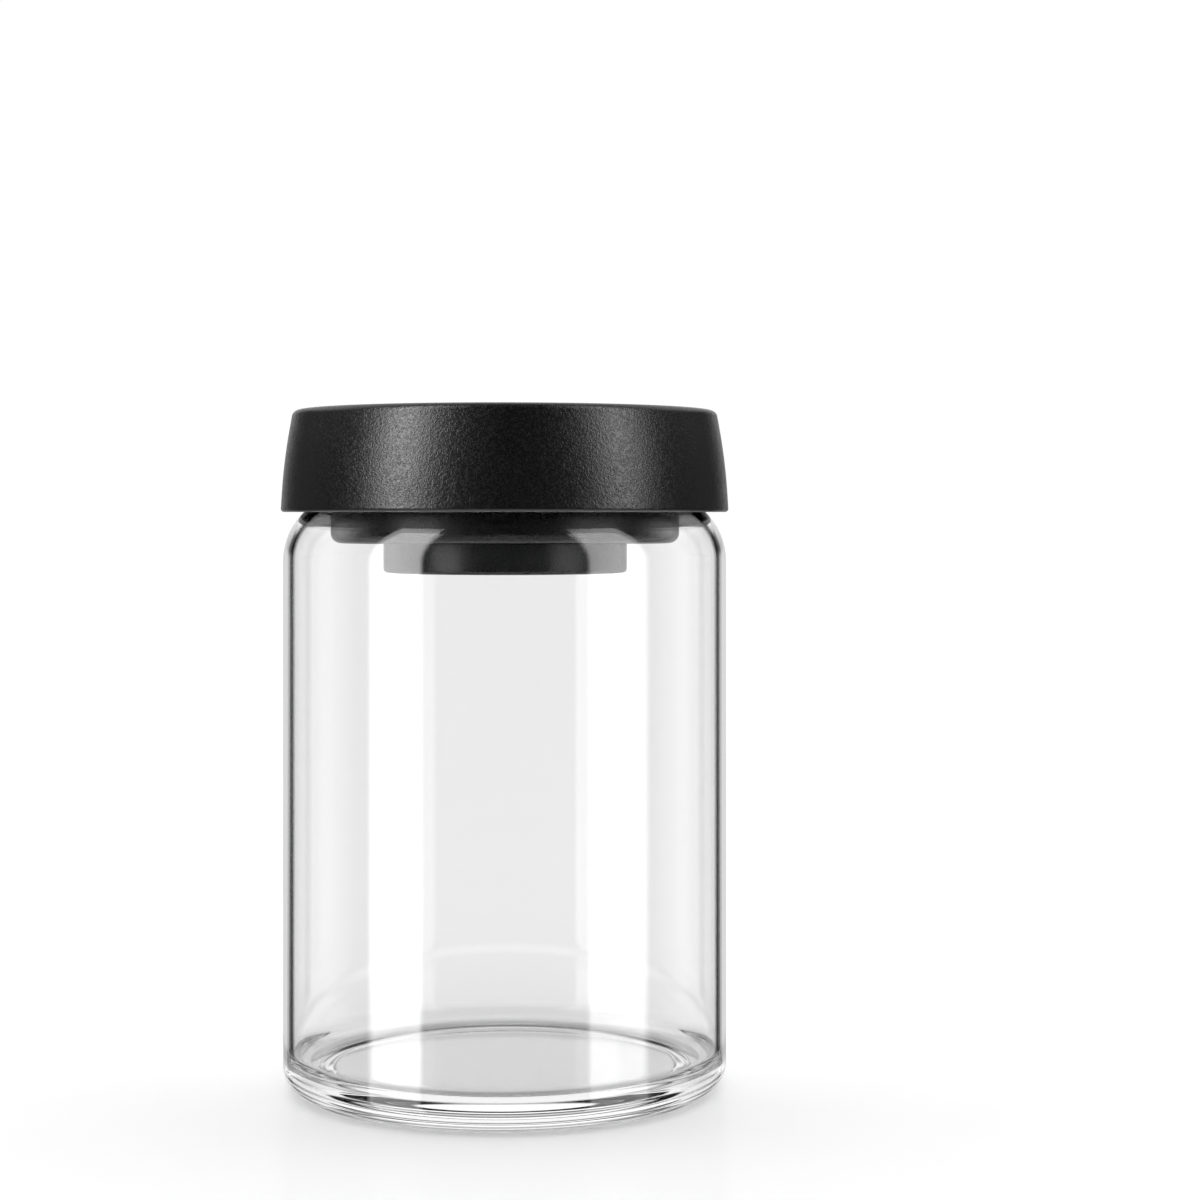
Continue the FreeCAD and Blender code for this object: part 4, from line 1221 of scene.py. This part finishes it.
class CANISTER_OT_pump_housing(Operator):
    """Make the smoked pump housing with its inlet holes."""

    bl_idname = "canister.pump_housing"
    bl_label = "Pump housing"

    def execute(self, context):
        pump, plug, look = sizes(context, "pump", "plug", "finishes")
        smoke = satin("smoked_plastic", look.smoke, roughness=0.26, change=0.15)
        floor_top = pump.housing_bottom + pump.floor
        groove_inner = pump.gasket_circle - pump.gasket_width / 2
        groove_outer = pump.gasket_circle + pump.gasket_width / 2
        groove_floor = plug.bottom - pump.gasket_depth
        body = turned(outline(
            (0, pump.housing_bottom),
            (pump.housing_radius, pump.housing_bottom, pump.housing_corner),
            (pump.housing_radius, plug.bottom, EDGE),
            (groove_outer, plug.bottom, EDGE / 2),
            (groove_outer, groove_floor, EDGE / 2),
            (groove_inner, groove_floor, EDGE / 2),
            (groove_inner, plug.bottom, EDGE / 2),
            (pump.cylinder_radius, plug.bottom, EDGE / 2),
            (pump.cylinder_radius, pump.cylinder_top, EDGE),
            (pump.bore, pump.cylinder_top, 2 * EDGE),
            (pump.bore, floor_top, 2.5 * EDGE),
            (0, floor_top),
        ), pump.steps, smoke)
        pocket = turned(outline(
            (0, pump.housing_bottom - SPARE),
            (pump.valve_pocket, pump.housing_bottom - SPARE),
            (pump.valve_pocket, pump.housing_bottom + pump.valve_pocket_depth, EDGE),
            (pump.valve_hole, pump.housing_bottom + pump.valve_pocket_depth),
            (pump.valve_hole, floor_top + SPARE),
            (0, floor_top + SPARE),
        ), SCREW_STEPS, smoke)
        inlet = rod(pump.inlet_radius, pump.housing_bottom - SPARE, floor_top + SPARE, (pump.inlet_circle, 0, 0),
                    INLET_STEPS, smoke)
        body = carved(body, joined(pocket, spaced(inlet, pump.inlet_count, 0.0, smoke)))
        finished("pump_housing", body, smoke, "lid", "smoked_plastic", "pump_cylinder")
        return {"FINISHED"}


class CANISTER_OT_gold_buttons(Operator):
    """Make the pump button and the dished release button in satin gold."""

    bl_idname = "canister.gold_buttons"
    bl_label = "Gold buttons"

    def execute(self, context):
        pump, release, look = sizes(context, "pump", "release", "finishes")
        gold = satin("satin_gold", look.gold, look.gold_roughness, spread=0.02, change=0.04, metallic=0.9,
                     tone_size=16 * MM, speck_size=0.35 * MM, speck_depth=0.0015 * MM)
        roof = pump.button_top - pump.button_roof
        inner = pump.button_radius - pump.button_wall
        edge = 0.25 * MM
        crease = pump.button_radius - pump.button_round
        cap = turned(outline(
            (0, pump.button_top - pump.button_crease),
            (crease - 3 * edge, pump.button_top - pump.button_crease, 2 * edge),
            (crease, pump.button_top, edge),
            (pump.button_radius, pump.button_top, pump.button_round - edge),
            (pump.button_radius, pump.button_bottom, edge),
            (inner, pump.button_bottom, edge),
            (inner, roof, pump.button_round - pump.button_wall),
            (pump.boss, roof, 2 * edge),
            (pump.boss, pump.button_bottom, edge),
            (pump.boss_hole, pump.button_bottom, edge),
            (pump.boss_hole, pump.boss_hole_top),
            (0, pump.boss_hole_top),
        ), pump.steps, gold)
        finished("gold_pump_button", cap, gold, "pump", "satin_gold", "pump_button")
        hollow = release.radius - release.wall
        ceiling = release.top - release.roof
        fine = 0.15 * MM
        small = turned(outline(
            (0, release.top - release.dish),
            (release.rim_radius / 2, release.top - release.dish, release.rim_radius),
            (release.rim_radius, release.top, release.dish / 3),
            (release.radius, release.top - release.dish, release.dish),
            (release.radius, release.bottom, fine),
            (hollow, release.bottom, fine),
            (hollow, ceiling, fine),
            (release.socket, ceiling, fine),
            (release.socket, ceiling + release.socket_depth),
            (0, ceiling + release.socket_depth),
        ), release.steps, gold, (-release.offset, 0, 0))
        finished("gold_release_button", small, gold, "release", "satin_gold", "release_button")
        return {"FINISHED"}


class CANISTER_OT_springs(Operator):
    """Make both springs, their first and last turns flattened on their seats."""

    bl_idname = "canister.springs"
    bl_label = "Springs"

    def execute(self, context):
        pump, release, look = sizes(context, "pump", "release", "finishes")
        steel = satin("spring_steel", look.steel, roughness=0.26, metallic=1.0, tone_size=3 * MM)
        for spring, name, node, joint, place in (
                (pump, "coiled_pump_spring", "pump_spring", "pump_press", (0, 0)),
                (release, "coiled_release_spring", "release_spring", "release_press", (-release.offset, 0))):
            piece = finished(name, coiled(spring, place, steel), steel, "lid", "steel", node)
            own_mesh(piece)
        return {"FINISHED"}


class CANISTER_OT_inner_works(Operator):
    """Give the seals, mouldings and fasteners inside the lid their finishes."""

    bl_idname = "canister.inner_works"
    bl_label = "Inner works"

    def execute(self, context):
        look = context.scene.canister_finishes
        steel = satin("stem_steel", look.steel, roughness=0.26, metallic=1.0, tone_size=3 * MM)
        pale = satin("natural_plastic", look.pale_plastic, roughness=0.42, change=0.06, subsurface=0.15)
        milky = satin("clear_silicone", look.pale_silicone, roughness=0.50, change=0.08, tone_size=3 * MM,
                      subsurface=0.4)
        dark = satin("seal_silicone", look.dark_silicone, roughness=0.55, tone_size=4 * MM)
        finishes = {
            steel: ("button_screw", "button_washer", "release_stem", "release_clip"),
            pale: ("piston", "cylinder_lock_nut", "release_guide"),
            milky: ("inlet_valve", "release_valve_seal"),
            dark: ("piston_seal", "cylinder_gasket"),
        }
        for material, nodes in finishes.items():
            for node in nodes:
                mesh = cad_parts[node].data
                mesh.materials.clear()
                mesh.materials.append(material)
        return {"FINISHED"}


class CANISTER_PT_panel(Panel):
    """Sizes, finishes and steps of the canister."""

    bl_idname = "CANISTER_PT_panel"
    bl_label = "Vacuum seal canister"
    bl_space_type = "VIEW_3D"
    bl_region_type = "UI"
    bl_category = "Canister"

    def draw(self, context):
        for operator in OPERATORS:
            self.layout.operator(operator.bl_idname)
        for name, group in GROUPS.items():
            box = self.layout.box()
            box.label(text=group.__doc__)
            for key in group.__annotations__:
                box.prop(getattr(context.scene, name), key)


GROUPS = {
    "canister_jar": JarSizes,
    "canister_lid": LidSizes,
    "canister_deck": DeckSizes,
    "canister_plug": PlugSizes,
    "canister_pump": PumpSizes,
    "canister_release": ReleaseSizes,
    "canister_finishes": Finishes,
    "canister_stage": StageSizes,
}
OPERATORS = (
    CANISTER_OT_stage,
    CANISTER_OT_glass_jar,
    CANISTER_OT_lid_shell,
    CANISTER_OT_deck,
    CANISTER_OT_plug,
    CANISTER_OT_pump_housing,
    CANISTER_OT_gold_buttons,
    CANISTER_OT_springs,
    CANISTER_OT_inner_works,
)


def register():
    """Register the property groups, the operators and the panel."""
    for name, group in GROUPS.items():
        bpy.utils.register_class(group)
        setattr(bpy.types.Scene, name, PointerProperty(type=group))
    for operator in OPERATORS:
        bpy.utils.register_class(operator)
    bpy.utils.register_class(CANISTER_PT_panel)


def unregister():
    """Take away what register has set up."""
    bpy.utils.unregister_class(CANISTER_PT_panel)
    for operator in reversed(OPERATORS):
        bpy.utils.unregister_class(operator)
    for name, group in reversed(GROUPS.items()):
        delattr(bpy.types.Scene, name)
        bpy.utils.unregister_class(group)


def main():
    register()
    bpy.ops.canister.stage()
    bpy.ops.canister.glass_jar()
    bpy.ops.canister.lid_shell()
    bpy.ops.canister.deck()
    bpy.ops.canister.plug()
    bpy.ops.canister.pump_housing()
    bpy.ops.canister.gold_buttons()
    bpy.ops.canister.springs()
    bpy.ops.canister.inner_works()


if __name__ == "__main__":
    main()
